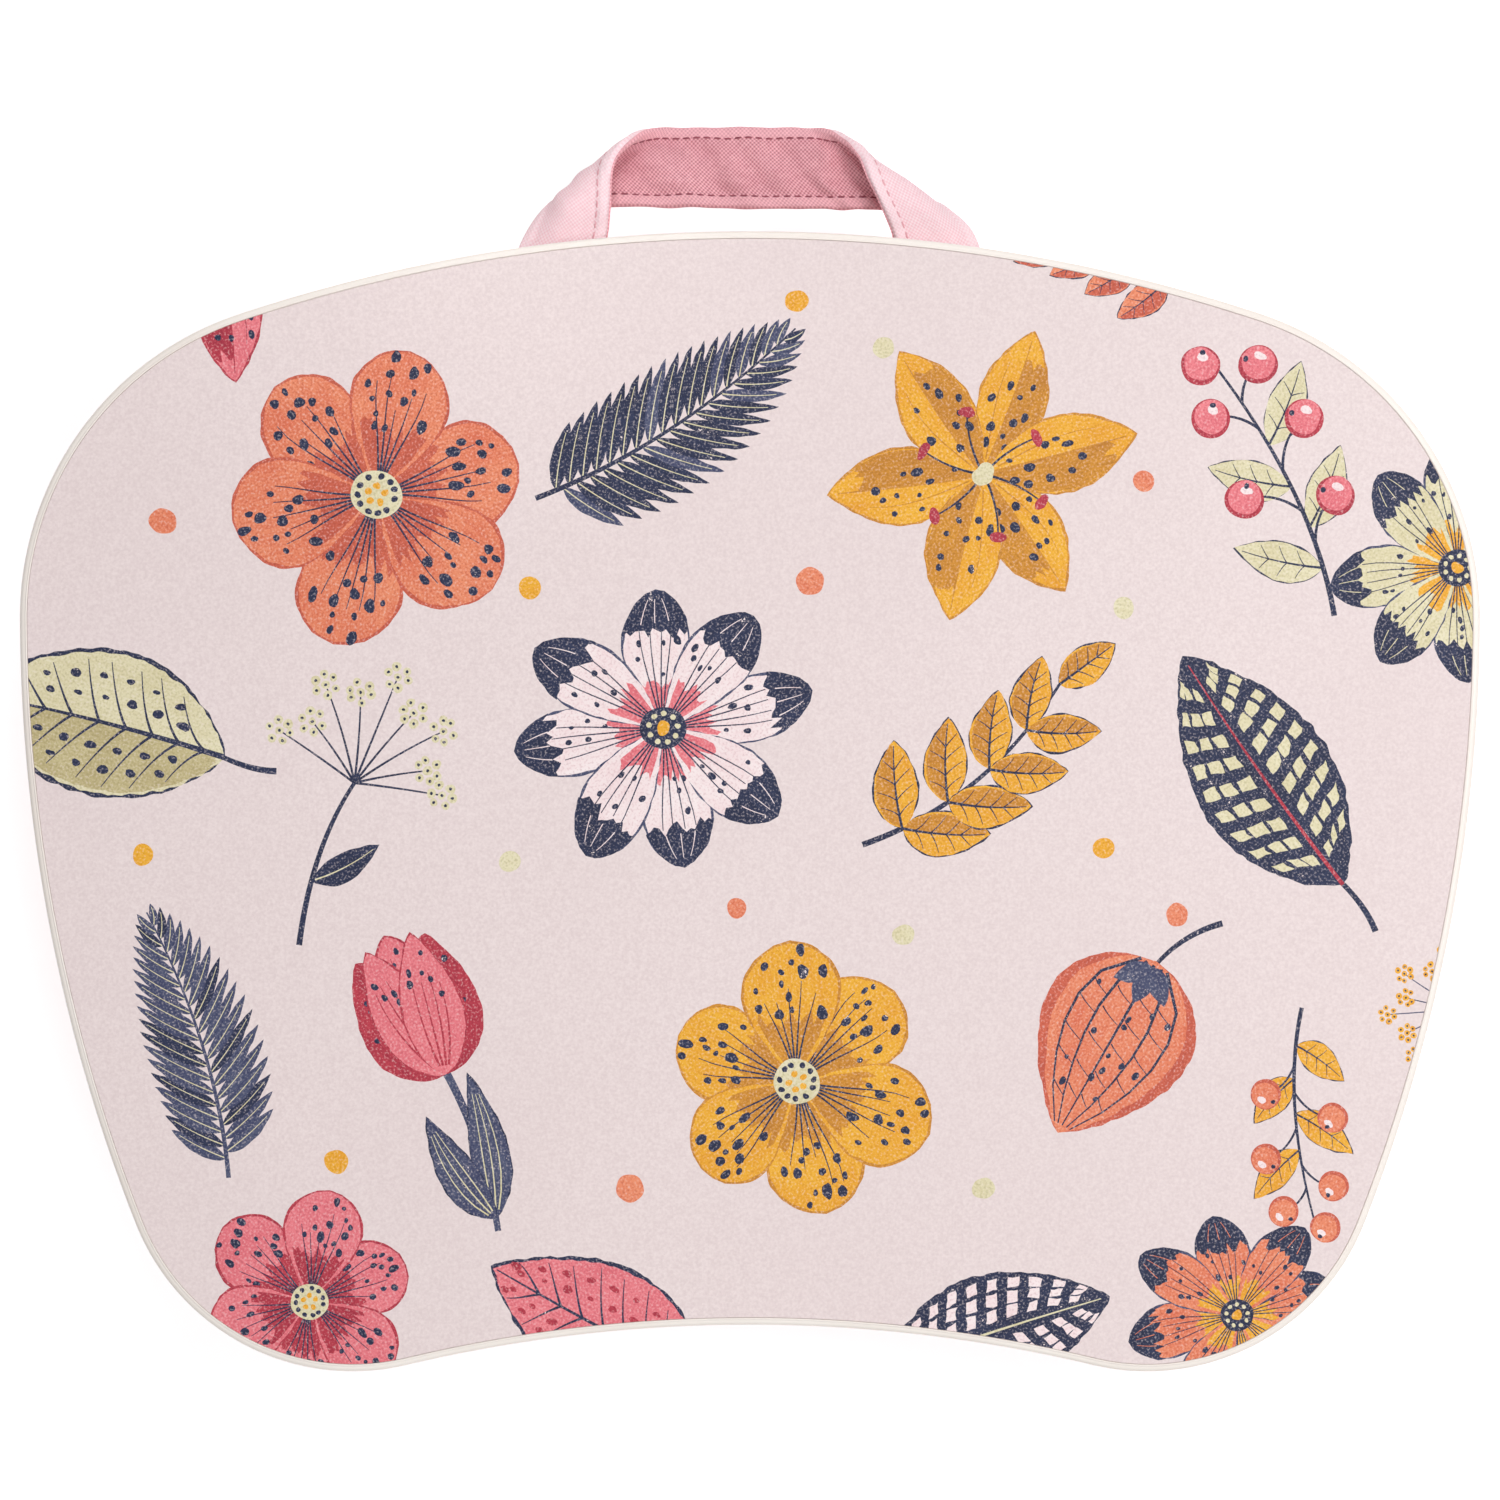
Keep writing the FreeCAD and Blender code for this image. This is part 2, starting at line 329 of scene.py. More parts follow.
def addBump(tree, shader, height, strength, depth):
    values = {"Height": height, "Strength": strength, "Distance": depth}
    bump = addNode(tree, "ShaderNodeBump", {}, values)
    tree.links.new(bump.outputs[0], shader.inputs["Normal"])


def addPebble(tree, shader, pitch, strength, depth):
    pebble = useGroup(tree, pebbleGroup, {"Vector": placeOf(tree), "Pitch": pitch})
    addBump(tree, shader, pebble["Height"], strength, depth)
    return pebble["Shade"]


def setMaterial(piece, material):
    piece.data.materials.clear()
    piece.data.materials.append(material)


# printed face: a satin laminate with a scattered garden print
laminate = {
    "inset": 2.35,
    "top": 64.0,
    "bottom": 63.4,
    "outlineStep": 2.0,
    "grain": (1150.0, 0.5, 0.00012),  # pitch, strength and depth of the pebble
    "roughness": 0.52,
    "specular": {"Specular IOR Level": 0.35},
    "ground": (240, 225, 224),
    "groundDeep": (221, 203, 203),
    "speck": 0.7,
    "merge": 0.01,  # outline points closer than this become one
}
inks = {  # colour, the tone it pools to, and how dry it prints
    "coral": ((238, 146, 108), (222, 112, 82), 0.06),
    "ember": ((214, 104, 78), (190, 84, 66), 0.08),
    "mustard": ((243, 182, 54), (231, 156, 38), 0.05),
    "ochre": ((219, 150, 46), (190, 124, 44), 0.10),
    "cream": ((232, 224, 190), (214, 203, 160), 0.08),
    "sand": ((205, 192, 146), (182, 166, 118), 0.12),
    "navy": ((46, 54, 86), (30, 36, 64), 0.26),
    "slate": ((84, 90, 118), (54, 58, 94), 0.24),
    "rose": ((240, 134, 142), (224, 106, 118), 0.06),
    "berry": ((196, 62, 78), (164, 44, 64), 0.08),
    "blush": ((250, 236, 236), (242, 214, 216), 0.06),
}


def makeLaminate():
    tones = laminate["ground"], laminate["groundDeep"]
    material, tree, shader, drift = driftMaterial(
        "printedGround", tones, laminate["roughness"], pitch=9.0, amount=0.2, uniform=laminate["specular"]
    )
    speck = calc(tree, "MULTIPLY", addPebble(tree, shader, *laminate["grain"]), laminate["speck"])
    colour = mixTone(tree, speck, drift["Color"], srgb(*laminate["groundDeep"]))
    tree.links.new(colour, shader.inputs["Base Color"])
    return material


def makeInk(name):
    tone, pool, dryness = inks[name]
    material, tree, shader = startMaterial("print_" + name, laminate["roughness"], laminate["specular"])
    tones = {"Ink": srgb(*tone), "Pool": srgb(*pool), "Ground": srgb(*laminate["ground"])}
    ink = useGroup(tree, inkGroup, {"Vector": placeOf(tree, "brush"), "Dryness": dryness, **tones})
    tree.links.new(ink["Color"], shader.inputs["Base Color"])
    addPebble(tree, shader, *laminate["grain"])
    return material


# drawing tools for the print, in millimetres: a blade is a petal, leaf or leaflet
def blade(at, heading, length, width, bend=0.0, swell=1.0, blunt=1.0):
    return dict(at=at, heading=heading, length=length, width=width, bend=bend, swell=swell, blunt=blunt)


def placed(at, heading, along, aside):
    cos, sin = math.cos(heading), math.sin(heading)
    return at[0] + cos * along - sin * aside, at[1] + sin * along + cos * aside


def onBlade(form, t, s):
    t = min(max(t, 0.0), 1.0)
    girth = form["width"] * max(0.0, math.sin(math.pi * t ** form["swell"])) ** form["blunt"]
    return placed(form["at"], form["heading"], form["length"] * t, form["bend"] * t * t + s * girth)


def wobbled(points, rough, seed):
    shifted = []
    for x, y in points:
        pushX, pushY = stray(x * 0.3, y * 0.3, seed), stray(x * 0.3, y * 0.3, seed + 9.7)
        shifted.append((x + rough * pushX, y + rough * pushY))
    return shifted


def bladePatch(form, rng, low=0.0, high=1.0, left=-1.0, right=1.0, rough=0.5, ragged=0.0):
    # part of a blade between two lengths and two sides, with a ragged cross edge where asked
    steps = max(8, round(form["length"] * (high - low) / 1.1))
    ends = [low + (high - low) * step / steps for step in range(steps + 1)]
    teeth = max(3, round(form["width"] * (right - left) / 1.5))

    def crossEdge(t, first, last):
        shares = [first + (last - first) * tooth / teeth for tooth in range(1, teeth)]
        return [onBlade(form, t + rng.uniform(-ragged, ragged), share) for share in shares]

    points = [onBlade(form, t, right) for t in ends]
    if high < 1 and ragged:
        points += crossEdge(high, right, left)
    points += [onBlade(form, t, left) for t in reversed(ends)]
    if low > ragged > 0:
        points += crossEdge(low, left, right)
    return wobbled(points, rough, rng.random() * 50)


def strokeAlong(points, startWidth, endWidth):
    left, right = [], []
    for step, (x, y) in enumerate(points):
        before, after = points[max(step - 1, 0)], points[min(step + 1, len(points) - 1)]
        dx, dy = after[0] - before[0], after[1] - before[1]
        size = math.hypot(dx, dy) or 1.0
        half = 0.5 * (startWidth + (endWidth - startWidth) * step / (len(points) - 1))
        left.append((x - dy / size * half, y + dx / size * half))
        right.append((x + dy / size * half, y - dx / size * half))
    return right + left[::-1]


def bladeVein(form, start, end, startWidth, endWidth, steps=6):
    points = []
    for step in range(steps + 1):
        share = step / steps
        ease = share * share * 0.4 + share * 0.6
        t, s = start[0] + (end[0] - start[0]) * share, start[1] + (end[1] - start[1]) * ease
        points.append(onBlade(form, t, s))
    return strokeAlong(points, startWidth, endWidth)


def curved(start, middle, end, steps=14):
    points = []
    for step in range(steps + 1):
        t = step / steps
        near, mid, far = (1 - t) ** 2, 2 * t * (1 - t), t * t
        points.append(tuple(near * a + mid * b + far * c for a, b, c in zip(start, middle, end)))
    return points


def dab(at, radius, rng, stretch=1.0, heading=0.0, uneven=0.16):
    # a dab of ink: a round outline with a slow wobble
    waves = [(rng.uniform(-1, 1) * uneven / order * 2, rng.uniform(0, 6.28), order) for order in (2, 3, 5)]
    corners = min(36, max(11, round(radius * 8)))
    points = []
    for corner in range(corners):
        angle = 2 * math.pi * corner / corners
        reach = radius * (1 + sum(size * math.sin(order * angle + turn) for size, turn, order in waves))
        points.append(placed(at, heading, reach * math.cos(angle) * stretch, reach * math.sin(angle)))
    return points


class Sketch:
    # the marks of one motif in order, each an ink, an outline and the brush's heading
    def __init__(self, seed):
        self.rng = random.Random(seed)
        self.marks = []

    def mark(self, ink, outline, brush):
        self.marks.append((ink, outline, brush))

    def patch(self, ink, form, *area, brush=None, **edges):
        outline = bladePatch(form, self.rng, *area, **edges)
        self.mark(ink, outline, form["heading"] if brush is None else brush)

    def rimmed(self, ink, rim, form, rough=0.5):
        inner = dict(form, width=form["width"] * 0.94, length=form["length"] * 0.985)
        self.patch(rim, form, rough=rough)
        self.patch(ink, inner, rough=rough)

    def vein(self, ink, form, start, end, startWidth, endWidth, brush=None):
        outline = bladeVein(form, start, end, startWidth, endWidth)
        self.mark(ink, outline, form["heading"] if brush is None else brush)

    def midrib(self, ink, form, end, startWidth, endWidth, start=0.0):
        self.vein(ink, form, (start, 0.0), (end, 0.0), startWidth, endWidth)

    def stroke(self, ink, line, startWidth, endWidth, brush=upright):
        self.mark(ink, strokeAlong(line, startWidth, endWidth), brush)

    def dab(self, ink, at, radius, stretch=1.0, heading=0.0, uneven=0.16, brush=0.0):
        self.mark(ink, dab(at, radius, self.rng, stretch, heading, uneven), brush)

    def spots(self, ink, form, count, sizes, span):
        rng, taken = self.rng, []
        for _ in range(count * 6):
            if len(taken) == count:
                break
            t, s = rng.uniform(*span), rng.uniform(-0.72, 0.72)
            spot, size = onBlade(form, t, s), rng.uniform(*sizes)
            if all(math.dist(spot, other) > size + otherSize + 1.0 for other, otherSize in taken):
                taken.append((spot, size))
                self.dab(ink, spot, size, rng.uniform(1.0, 1.6), form["heading"], brush=form["heading"])


def spottedBlossom(draw, ink, base, rim):
    vary = draw.rng.uniform
    for number in (0, 2, 4, 1, 3, 5):
        heading = math.pi * number / 3 + vary(-0.09, 0.09)
        petal = blade(polar(2, heading), heading, vary(39, 45), vary(15, 17), vary(-3, 3), 1.5, 0.55)
        draw.rimmed(ink, rim, petal)
        draw.patch(base, petal, 0.02, 0.42, -0.8, 0.8, 0.3, 0.07)
        for side in (-0.5, -0.22, 0.05, 0.3, 0.55):
            draw.vein("navy", petal, (0.1, side * 0.5), (vary(0.55, 0.8), side), 0.7, 0.25)
        draw.spots("navy", petal, 13, (0.8, 1.7), (0.42, 0.93))
    draw.dab("cream", (0, 0), 7.5, uneven=0.05)
    for ringRadius, count, size, tone in ((5.6, 11, 1.0, "navy"), (2.6, 5, 1.1, "mustard")):
        for number in range(count):
            angle = 2 * math.pi * number / count + vary(-0.1, 0.1)
            draw.dab(tone, polar(ringRadius, angle), size, brush=angle)


def tippedBlossom(draw, ink, base, tip):
    vary = draw.rng.uniform
    for number in (0, 2, 4, 6, 1, 3, 5, 7):
        heading = math.pi * number / 4 + vary(-0.07, 0.07)
        petal = blade((0, 0), heading, vary(43, 49), vary(10.5, 12), vary(-4, 4), 1.45, 0.6)
        draw.rimmed(ink, "slate", petal)
        draw.patch(tip, petal, vary(0.66, 0.74), 1.0, -1, 1, 0.4, 0.06)
        draw.patch(base, petal, 0.05, 0.34, -0.7, 0.7, 0.3, 0.06)
        for side in (-0.5, -0.2, 0.15, 0.48):
            draw.vein(tip, petal, (0.08, side * 0.5), (vary(0.66, 0.75), side), 0.55, 0.3)
        for side in (-0.45, 0.0, 0.45):
            draw.vein(ink, petal, (0.76, side), (0.93, side * 0.9), 0.35, 0.2)
        draw.spots(tip, petal, 5, (0.6, 1.1), (0.36, 0.64))
    draw.dab(tip, (0, 0), 7.0, uneven=0.06)
    for number in range(9):
        angle = 2 * math.pi * number / 9
        draw.dab("cream", polar(4.6, angle), 0.9, brush=angle)
    draw.dab("mustard", (0, 0), 2.2)


def starLily(draw, ink, half, rim):
    vary = draw.rng.uniform
    for number in (1, 3, 5, 0, 2, 4):
        heading = math.pi * number / 3 + vary(-0.08, 0.08)
        petal = blade((0, 0), heading, vary(46, 52), vary(11, 13), vary(-7, 7), 1.05, 0.85)
        draw.rimmed(ink, rim, petal)
        draw.patch(half, petal, 0.03, 0.8, -0.92, 0.0, 0.4, 0.05)
        draw.midrib(rim, petal, 0.93, 1.3, 0.3, 0.04)
        for side in (-0.55, 0.55):
            draw.vein(rim, petal, (0.1, side * 0.6), (0.75, side), 0.5, 0.2)
        draw.spots("navy", petal, 10, (0.7, 1.5), (0.16, 0.7))
    for number in range(6):
        heading = math.pi * (number + 0.5) / 3 + vary(-0.1, 0.1)
        end = polar(21, heading)
        draw.stroke("navy", curved((0, 0), polar(11, heading + 0.25), end), 0.9, 0.5, heading)
        draw.dab("berry", end, 1.7, 1.7, heading + 1.3, brush=heading)
    draw.dab("cream", (0, 0), 3.6)


def broadLeaf(draw, ink, half, vein, spot):
    vary = draw.rng.uniform
    leaf = blade((0, -46), upright, 92, 25, vary(-7, 7), 0.86, 0.85)
    draw.stroke(vein, curved((1.0, -64), (-1.5, -56), (0, -45)), 2.2, 1.6)
    draw.rimmed(ink, vein, leaf, 0.8)
    draw.patch(half, leaf, 0.03, 0.95, 0.0, 0.9, 0.5, 0.02)
    draw.midrib(vein, leaf, 0.97, 2.0, 0.5)
    for number in range(8):
        start = 0.07 + 0.1 * number
        for side in (-1, 1):
            end = (start + vary(0.1, 0.14), side * vary(0.78, 0.86))
            draw.vein(vein, leaf, (start, 0.0), end, 1.0, 0.3, upright + side * 0.7)
            for share in (0.35, 0.65):
                at = onBlade(leaf, start + 0.07 + 0.1 * share, side * share * 0.95)
                draw.dab(spot, at, vary(0.8, 1.5), 1.5, 1.57, brush=1.57)


def barredLeaf(draw, ink, bar, vein):
    leaf = blade((0, -44), upright, 88, 22, draw.rng.uniform(-6, 6), 0.9, 0.8)
    draw.stroke(ink, curved((-1.0, -62), (1.5, -54), (0, -43)), 2.0, 1.6)
    draw.patch(ink, leaf, rough=0.8)
    for number in range(9):
        start = 0.09 + 0.09 * number
        for side in (-1, 1):
            for share in (0.16, 0.42, 0.68):
                near, far, t = share * side, (share + 0.2) * side, start + 0.09 * share
                places = ((t, near), (t + 0.018, far), (t + 0.062, far), (t + 0.045, near))
                corners = [onBlade(leaf, *place) for place in places]
                filled = []
                for first, second in zip(corners, corners[1:] + corners[:1]):
                    for part in (0.0, 0.33, 0.66):
                        filled.append(tuple(a + (b - a) * part for a, b in zip(first, second)))
                draw.mark(bar, wobbled(filled, 0.9, draw.rng.random() * 50), upright)
    draw.midrib(vein, leaf, 0.96, 1.3, 0.4)


def fernSpray(draw, ink, second, vein):
    spine = curved((0, -50), (9, -5), (-2, 48), 40)
    for number in range(3, 39):
        (x, y), ahead = spine[number], spine[number + 1]
        side = 1 if number % 2 else -1
        share = number / 40
        heading = math.atan2(ahead[1] - y, ahead[0] - x) + side * (1.15 - 0.5 * share)
        length = 24 * math.sin(math.pi * min(1.0, 0.2 + 0.8 * share)) ** 0.8 + 3
        leaflet = blade((x, y), heading, length, 2.9 - 1.2 * share, side * -3, 0.8, 0.8)
        draw.patch(ink if draw.rng.random() < 0.65 else second, leaflet, rough=0.35)
        draw.midrib(vein, leaflet, 0.85, 0.4, 0.2, 0.03)
    draw.stroke(ink, spine, 1.7, 0.5)


def berryTwig(draw, ink, pool, leafInk):
    spine = curved((-4, -46), (8, -10), (0, 40), 30)
    for number, side in ((6, 1), (11, -1), (16, 1), (21, -1)):
        leaf = blade(spine[number], upright + side, draw.rng.uniform(24, 29), 6.5, side * -4, 0.85, 0.9)
        draw.rimmed(leafInk, "navy", leaf, 0.4)
        draw.midrib("navy", leaf, 0.9, 0.8, 0.25)
        for t in (0.3, 0.5, 0.7):
            for across in (-0.75, 0.75):
                draw.vein("navy", leaf, (t - 0.1, 0.0), (t, across), 0.4, 0.2)
    draw.stroke("navy", spine, 1.8, 0.8)
    tips = (9, -1, 15), (13, 1, 17), (18, -1, 16), (23, 1, 14), (26, -1, 12), (30, 1, 5)
    for number, side, reach in tips:
        x, y = spine[number]
        endX, endY = x - side * reach * 0.85, y + reach * 0.7
        stalk = curved((x, y), (x - side * reach * 0.3, y + reach * 0.6), (endX, endY))
        draw.stroke("navy", stalk, 1.0, 0.6, 1.57)
        draw.dab(pool, (endX, endY), 6.2, uneven=0.03, brush=0.8)
        draw.dab(ink, (endX + 0.4, endY + 0.5), 5.3, uneven=0.05, brush=0.8)
        draw.dab("blush", (endX + 1.9, endY + 2.1), 1.3, 1.5, 2.3, brush=0.8)
        draw.dab("navy", (endX + side * 2.6, endY + 3.4), 0.9, brush=0.8)


def seedUmbel(draw, ink, stemInk, heart):
    vary, top = draw.rng.uniform, (0, 4)
    stem = curved((3, -50), (-5, -20), top, 20)
    draw.stroke(stemInk, stem, 1.9, 1.2)
    for number in range(9):
        heading = upright + (number - 4) * 0.34 + vary(-0.04, 0.04)
        reach = 37 - abs(number - 4) * 2.2 + (number % 2) * -6 + vary(-1, 1)
        end = polar(reach, heading, top)
        bow = (0.5 * reach * math.cos(heading * 0.9 + 0.157), 4 + 0.55 * reach * math.sin(heading))
        draw.stroke(stemInk, curved(top, bow, end), 0.8, 0.45, heading)
        for seed in range(7):
            angle = 2 * math.pi * seed / 6 + vary(-0.2, 0.2)
            at = polar(0.0 if seed == 6 else 3.4, angle, end)
            draw.dab(ink, at, vary(1.25, 1.6), uneven=0.1, brush=angle)
            draw.dab(heart, at, 0.5, brush=angle)
    leaf = blade(stem[7], upright - 0.9, 24, 4.6, 5, 0.85, 0.9)
    draw.patch(stemInk, leaf, rough=0.4)
    draw.midrib(ink, leaf, 0.9, 0.5, 0.2, 0.05)


def tulip(draw, ink, deep, stripe, leafInk):
    draw.stroke(leafInk, curved((0, 2), (3, -24), (-5, -54)), 2.6, 2.0)
    for side, length in ((1, 46), (-1, 38)):
        leaf = blade((-4, -50), upright - side * 0.42, length, 6.5, side * 9, 0.8, 0.9)
        draw.rimmed(leafInk, "navy", leaf)
        for across in (-0.4, 0.0, 0.4):
            draw.vein("cream", leaf, (0.06, across), (0.85, across), 0.5, 0.2)
    petals = (0.42, 13, deep), (-0.42, 13, deep), (0.0, 15, ink), (0.26, 10, ink), (-0.26, 10, ink)
    for turn, width, tone in petals:
        petal = blade((0, -2), upright + turn, 48 - 8 * abs(turn), width, -turn * 16, 0.82, 0.75)
        draw.rimmed(tone, stripe, petal, 0.4)
        for across in (-0.5, -0.2, 0.15, 0.5):
            end = (draw.rng.uniform(0.6, 0.86), across)
            draw.vein(stripe, petal, (0.06, across * 0.7), end, 0.8, 0.25)
        draw.spots("navy", petal, 6, (0.6, 1.1), (0.5, 0.88))


def lanternPod(draw, ink, deep, rib):
    draw.stroke(rib, curved((0, 26), (2, 40), (12, 50)), 1.2, 2.0)
    for width, tone in ((25, deep), (21, ink)):
        pod = blade((0, 29), -upright, 62, width, 0, 0.72, 0.75)
        draw.patch(tone, pod, rough=0.6, brush=upright)
    for across in (-0.78, -0.42, 0.0, 0.42, 0.78):
        draw.vein(rib, pod, (0.02, across), (0.96, across), 1.1, 0.4, upright)
    for number in range(5):
        for across in (-0.6, -0.2, 0.2, 0.6):
            t = 0.2 + 0.14 * number + draw.rng.uniform(-0.02, 0.02)
            draw.vein(rib, pod, (t, across - 0.17), (t + 0.05, across + 0.17), 0.45, 0.25, 0.0)
    for side in (-1, 0, 1):
        draw.patch("slate", blade((0, 27), -upright + side * 0.8, 13, 3.4, 0, 0.8, 0.9), rough=0.3)
    draw.spots("navy", pod, 14, (0.6, 1.1), (0.15, 0.8))


def leafSprig(draw, ink, half, vein):
    spine = curved((-6, -46), (10, -8), (-2, 34), 24)
    draw.stroke(vein, spine, 1.9, 0.9)
    for number, side in ((4, 1), (4, -1), (9, 1), (9, -1), (14, 1), (14, -1), (19, 1), (19, -1), (24, 0)):
        share = number / 24
        heading = upright + side * (1.05 - 0.25 * share) + 0.2 * (0.5 - share)
        leaf = blade(spine[number], heading, 29 - 7 * share, 7.8 - 1.6 * share, side * -4, 0.85, 0.8)
        draw.rimmed(ink, vein, leaf)
        draw.patch(half, leaf, 0.04, 0.94, 0.0, 0.85, 0.3, 0.02)
        draw.midrib(vein, leaf, 0.93, 0.9, 0.3)
        for t in (0.22, 0.4, 0.58, 0.74):
            for across in (-0.78, 0.78):
                draw.vein(vein, leaf, (t - 0.08, 0.0), (t + 0.06, across), 0.45, 0.2)


garden = [  # motif, its inks, where it is, its turn in degrees, its size
    (spottedBlossom, ("coral", "ember", "ember"), (-112, 92), 14, 1.0),
    (fernSpray, ("navy", "slate", "cream"), (-24, 116), -58, 0.95),
    (starLily, ("mustard", "ochre", "ochre"), (70, 98), 10, 0.92),
    (berryTwig, ("rose", "berry", "cream"), (158, 96), 28, 0.95),
    (broadLeaf, ("cream", "sand", "navy", "navy"), (-197, 26), 72, 0.9),
    (seedUmbel, ("cream", "navy", "navy"), (-120, 2), -22, 0.95),
    (tippedBlossom, ("blush", "rose", "navy"), (-26, 22), 8, 0.95),
    (leafSprig, ("mustard", "ochre", "navy"), (70, 12), -48, 0.95),
    (barredLeaf, ("navy", "cream", "berry"), (152, 8), 38, 0.95),
    (tulip, ("rose", "berry", "berry", "slate"), (-92, -80), 24, 0.95),
    (spottedBlossom, ("mustard", "ochre", "ochre"), (14, -84), 40, 0.92),
    (lanternPod, ("coral", "ember", "navy"), (108, -72), -30, 0.95),
    (fernSpray, ("slate", "navy", "cream"), (-168, -72), 16, 0.85),
    (berryTwig, ("coral", "ember", "mustard"), (166, -96), 186, 0.74),
    (broadLeaf, ("rose", "rose", "navy", "berry"), (-46, -158), 64, 0.8),
    (tippedBlossom, ("cream", "mustard", "navy"), (212, 70), 0, 0.8),
    (starLily, ("rose", "berry", "berry"), (-160, 168), -14, 0.9),
    (barredLeaf, ("navy", "blush", "cream"), (74, -158), -70, 0.8),
    (spottedBlossom, ("rose", "berry", "berry"), (-132, -150), 20, 0.74),
    (tippedBlossom, ("coral", "mustard", "navy"), (146, -154), 11, 0.7),
    (leafSprig, ("coral", "ember", "navy"), (104, 163), 74, 0.66),
    (seedUmbel, ("mustard", "slate", "navy"), (216, -62), 96, 0.62),
]
paintDots = [  # ink, where it is, its radius
    ("mustard", (-66, 64), 3.4), ("coral", (18, 66), 4.2), ("cream", (112, 58), 3.2),
    ("coral", (-176, 84), 4.0), ("cream", (-72, -18), 3.2), ("mustard", (106, -14), 3.2),
    ("coral", (-4, -32), 3.0), ("mustard", (-124, -108), 3.6), ("cream", (70, -116), 3.3),
    ("coral", (-36, -116), 4.2), ("mustard", (14, 150), 3.4), ("cream", (40, 136), 3.2),
    ("coral", (128, -34), 3.4), ("mustard", (-182, -16), 3.2), ("cream", (46, -40), 3.2),
    ("coral", (118, 96), 3.2),
]
gardenSeed, dotSeed = 100, 7


def gardenShapes():
    shapes = []
    for number, (motif, tones, at, turn, size) in enumerate(garden):
        turn = math.radians(turn)
        cos, sin = math.cos(turn) * size, math.sin(turn) * size
        draw = Sketch(gardenSeed + number)
        motif(draw, *tones)
        for ink, points, heading in draw.marks:
            moved = [(at[0] + cos * x - sin * y, at[1] + sin * x + cos * y) for x, y in points]
            shapes.append((ink, moved, heading + turn))
    rng = random.Random(dotSeed)
    for ink, at, radius in paintDots:
        shapes.append((ink, dab(at, radius, rng, uneven=0.07), rng.uniform(0, 3)))
    return shapes


def cleaned(points, nearest=0.06):
    # drop doubled points and turn the outline anticlockwise
    kept = []
    for point in points:
        if not kept or math.dist(point, kept[-1]) > nearest:
            kept.append(point)
    while len(kept) > 2 and math.dist(kept[0], kept[-1]) < nearest:
        kept.pop()
    area = sum(a[0] * b[1] - b[0] * a[1] for a, b in zip(kept, kept[1:] + kept[:1]))
    return kept if area > 0 else kept[::-1]


def closeUnder(mesh):
    # side wall and underside of the laminate
    form = bmesh.new()
    form.from_mesh(mesh)
    bmesh.ops.delete(form, geom=[v for v in form.verts if not v.link_faces], context="VERTS")
    lower = bmesh.ops.extrude_edge_only(form, edges=[edge for edge in form.edges if edge.is_boundary])["geom"]
    for item in lower:
        if isinstance(item, bmesh.types.BMVert):
            item.co.z = laminate["bottom"] * mm
        elif isinstance(item, bmesh.types.BMFace):
            item.material_index = 0
    rim = [edge for edge in form.edges if edge.is_boundary]
    bmesh.ops.triangulate(form, faces=bmesh.ops.holes_fill(form, edges=rim, sides=0)["faces"])
    bmesh.ops.recalc_face_normals(form, faces=form.faces)
    form.to_mesh(mesh)
    form.free()


def makePrintedFace():
    border = ringAt(makeStations(laminate["outlineStep"]), laminate["inset"])
    shapes = gardenShapes()
    points, outlines = [], []
    for outline in [border] + [cleaned(shape[1]) for shape in shapes]:
        outlines.append(list(range(len(points), len(points) + len(outline))))
        points += [Vector(point) for point in outline]
    flat, _, faces, _, _, sources = delaunay_2d_cdt(points, [], outlines, 1, laminate["merge"], True)
    names = list(inks)
    inside = [(face, max(source)) for face, source in zip(faces, sources) if 0 in source]
    piece = newPiece("printedFace", [(x, y, laminate["top"]) for x, y in flat], [face for face, _ in inside])
    mesh = piece.data
    mesh.materials.append(makeLaminate())
    for name in names:
        mesh.materials.append(makeInk(name))
    brush = mesh.uv_layers.new(name="brush")
    for polygon, (_, owner) in zip(mesh.polygons, inside):
        if not owner:
            continue
        ink, _, heading = shapes[owner - 1]
        polygon.material_index = 1 + names.index(ink)
        cos, sin = math.cos(heading), math.sin(heading)
        for corner in polygon.loop_indices:
            x, y = flat[mesh.loops[corner].vertex_index]
            brush.data[corner].uv = (x * cos + y * sin, y * cos - x * sin)
    closeUnder(mesh)
    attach(piece, "tray")
    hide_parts("printed_top")
    return piece


printedFace = makePrintedFace()
print("printed face:", len(printedFace.data.polygons), "faces")


# edging: a moulded plastic lip with a small bead against the print, and its tongue in the core's groove
edging = {
    "spacing": 2.6,
    "tones": ((249, 241, 234), (243, 232, 223)),
    "roughness": (0.3, 0.46),
    "specular": {"Specular IOR Level": 0.45},
    "grain": (2600.0, 0.25, 0.00004),  # pitch, strength and depth of the pebble
    "bead": [
        (2.32, 63.4), (2.26, 63.7), (2.14, 63.98), (1.98, 64.12), (1.8, 64.1), (1.66, 63.95), (1.52, 63.8),
    ],
    "shoulder": (1.55, 62.25, 1.55),  # inset and height of its centre, and its radius
    "foot": (2.0, 57.0, 2.0),
    "tongue": [(2.3, 55.0), (2.3, 58.7), (5.3, 58.7), (5.3, 58.3), (8.3, 58.7)],
    "middle": 59.5,
}


def turned(arc, first, last, steps):
    inset, level, radius = arc
    angles = [math.radians(first + (last - first) * step / steps) for step in range(steps + 1)]
    return [(inset - radius * math.cos(angle), level + radius * math.sin(angle)) for angle in angles]


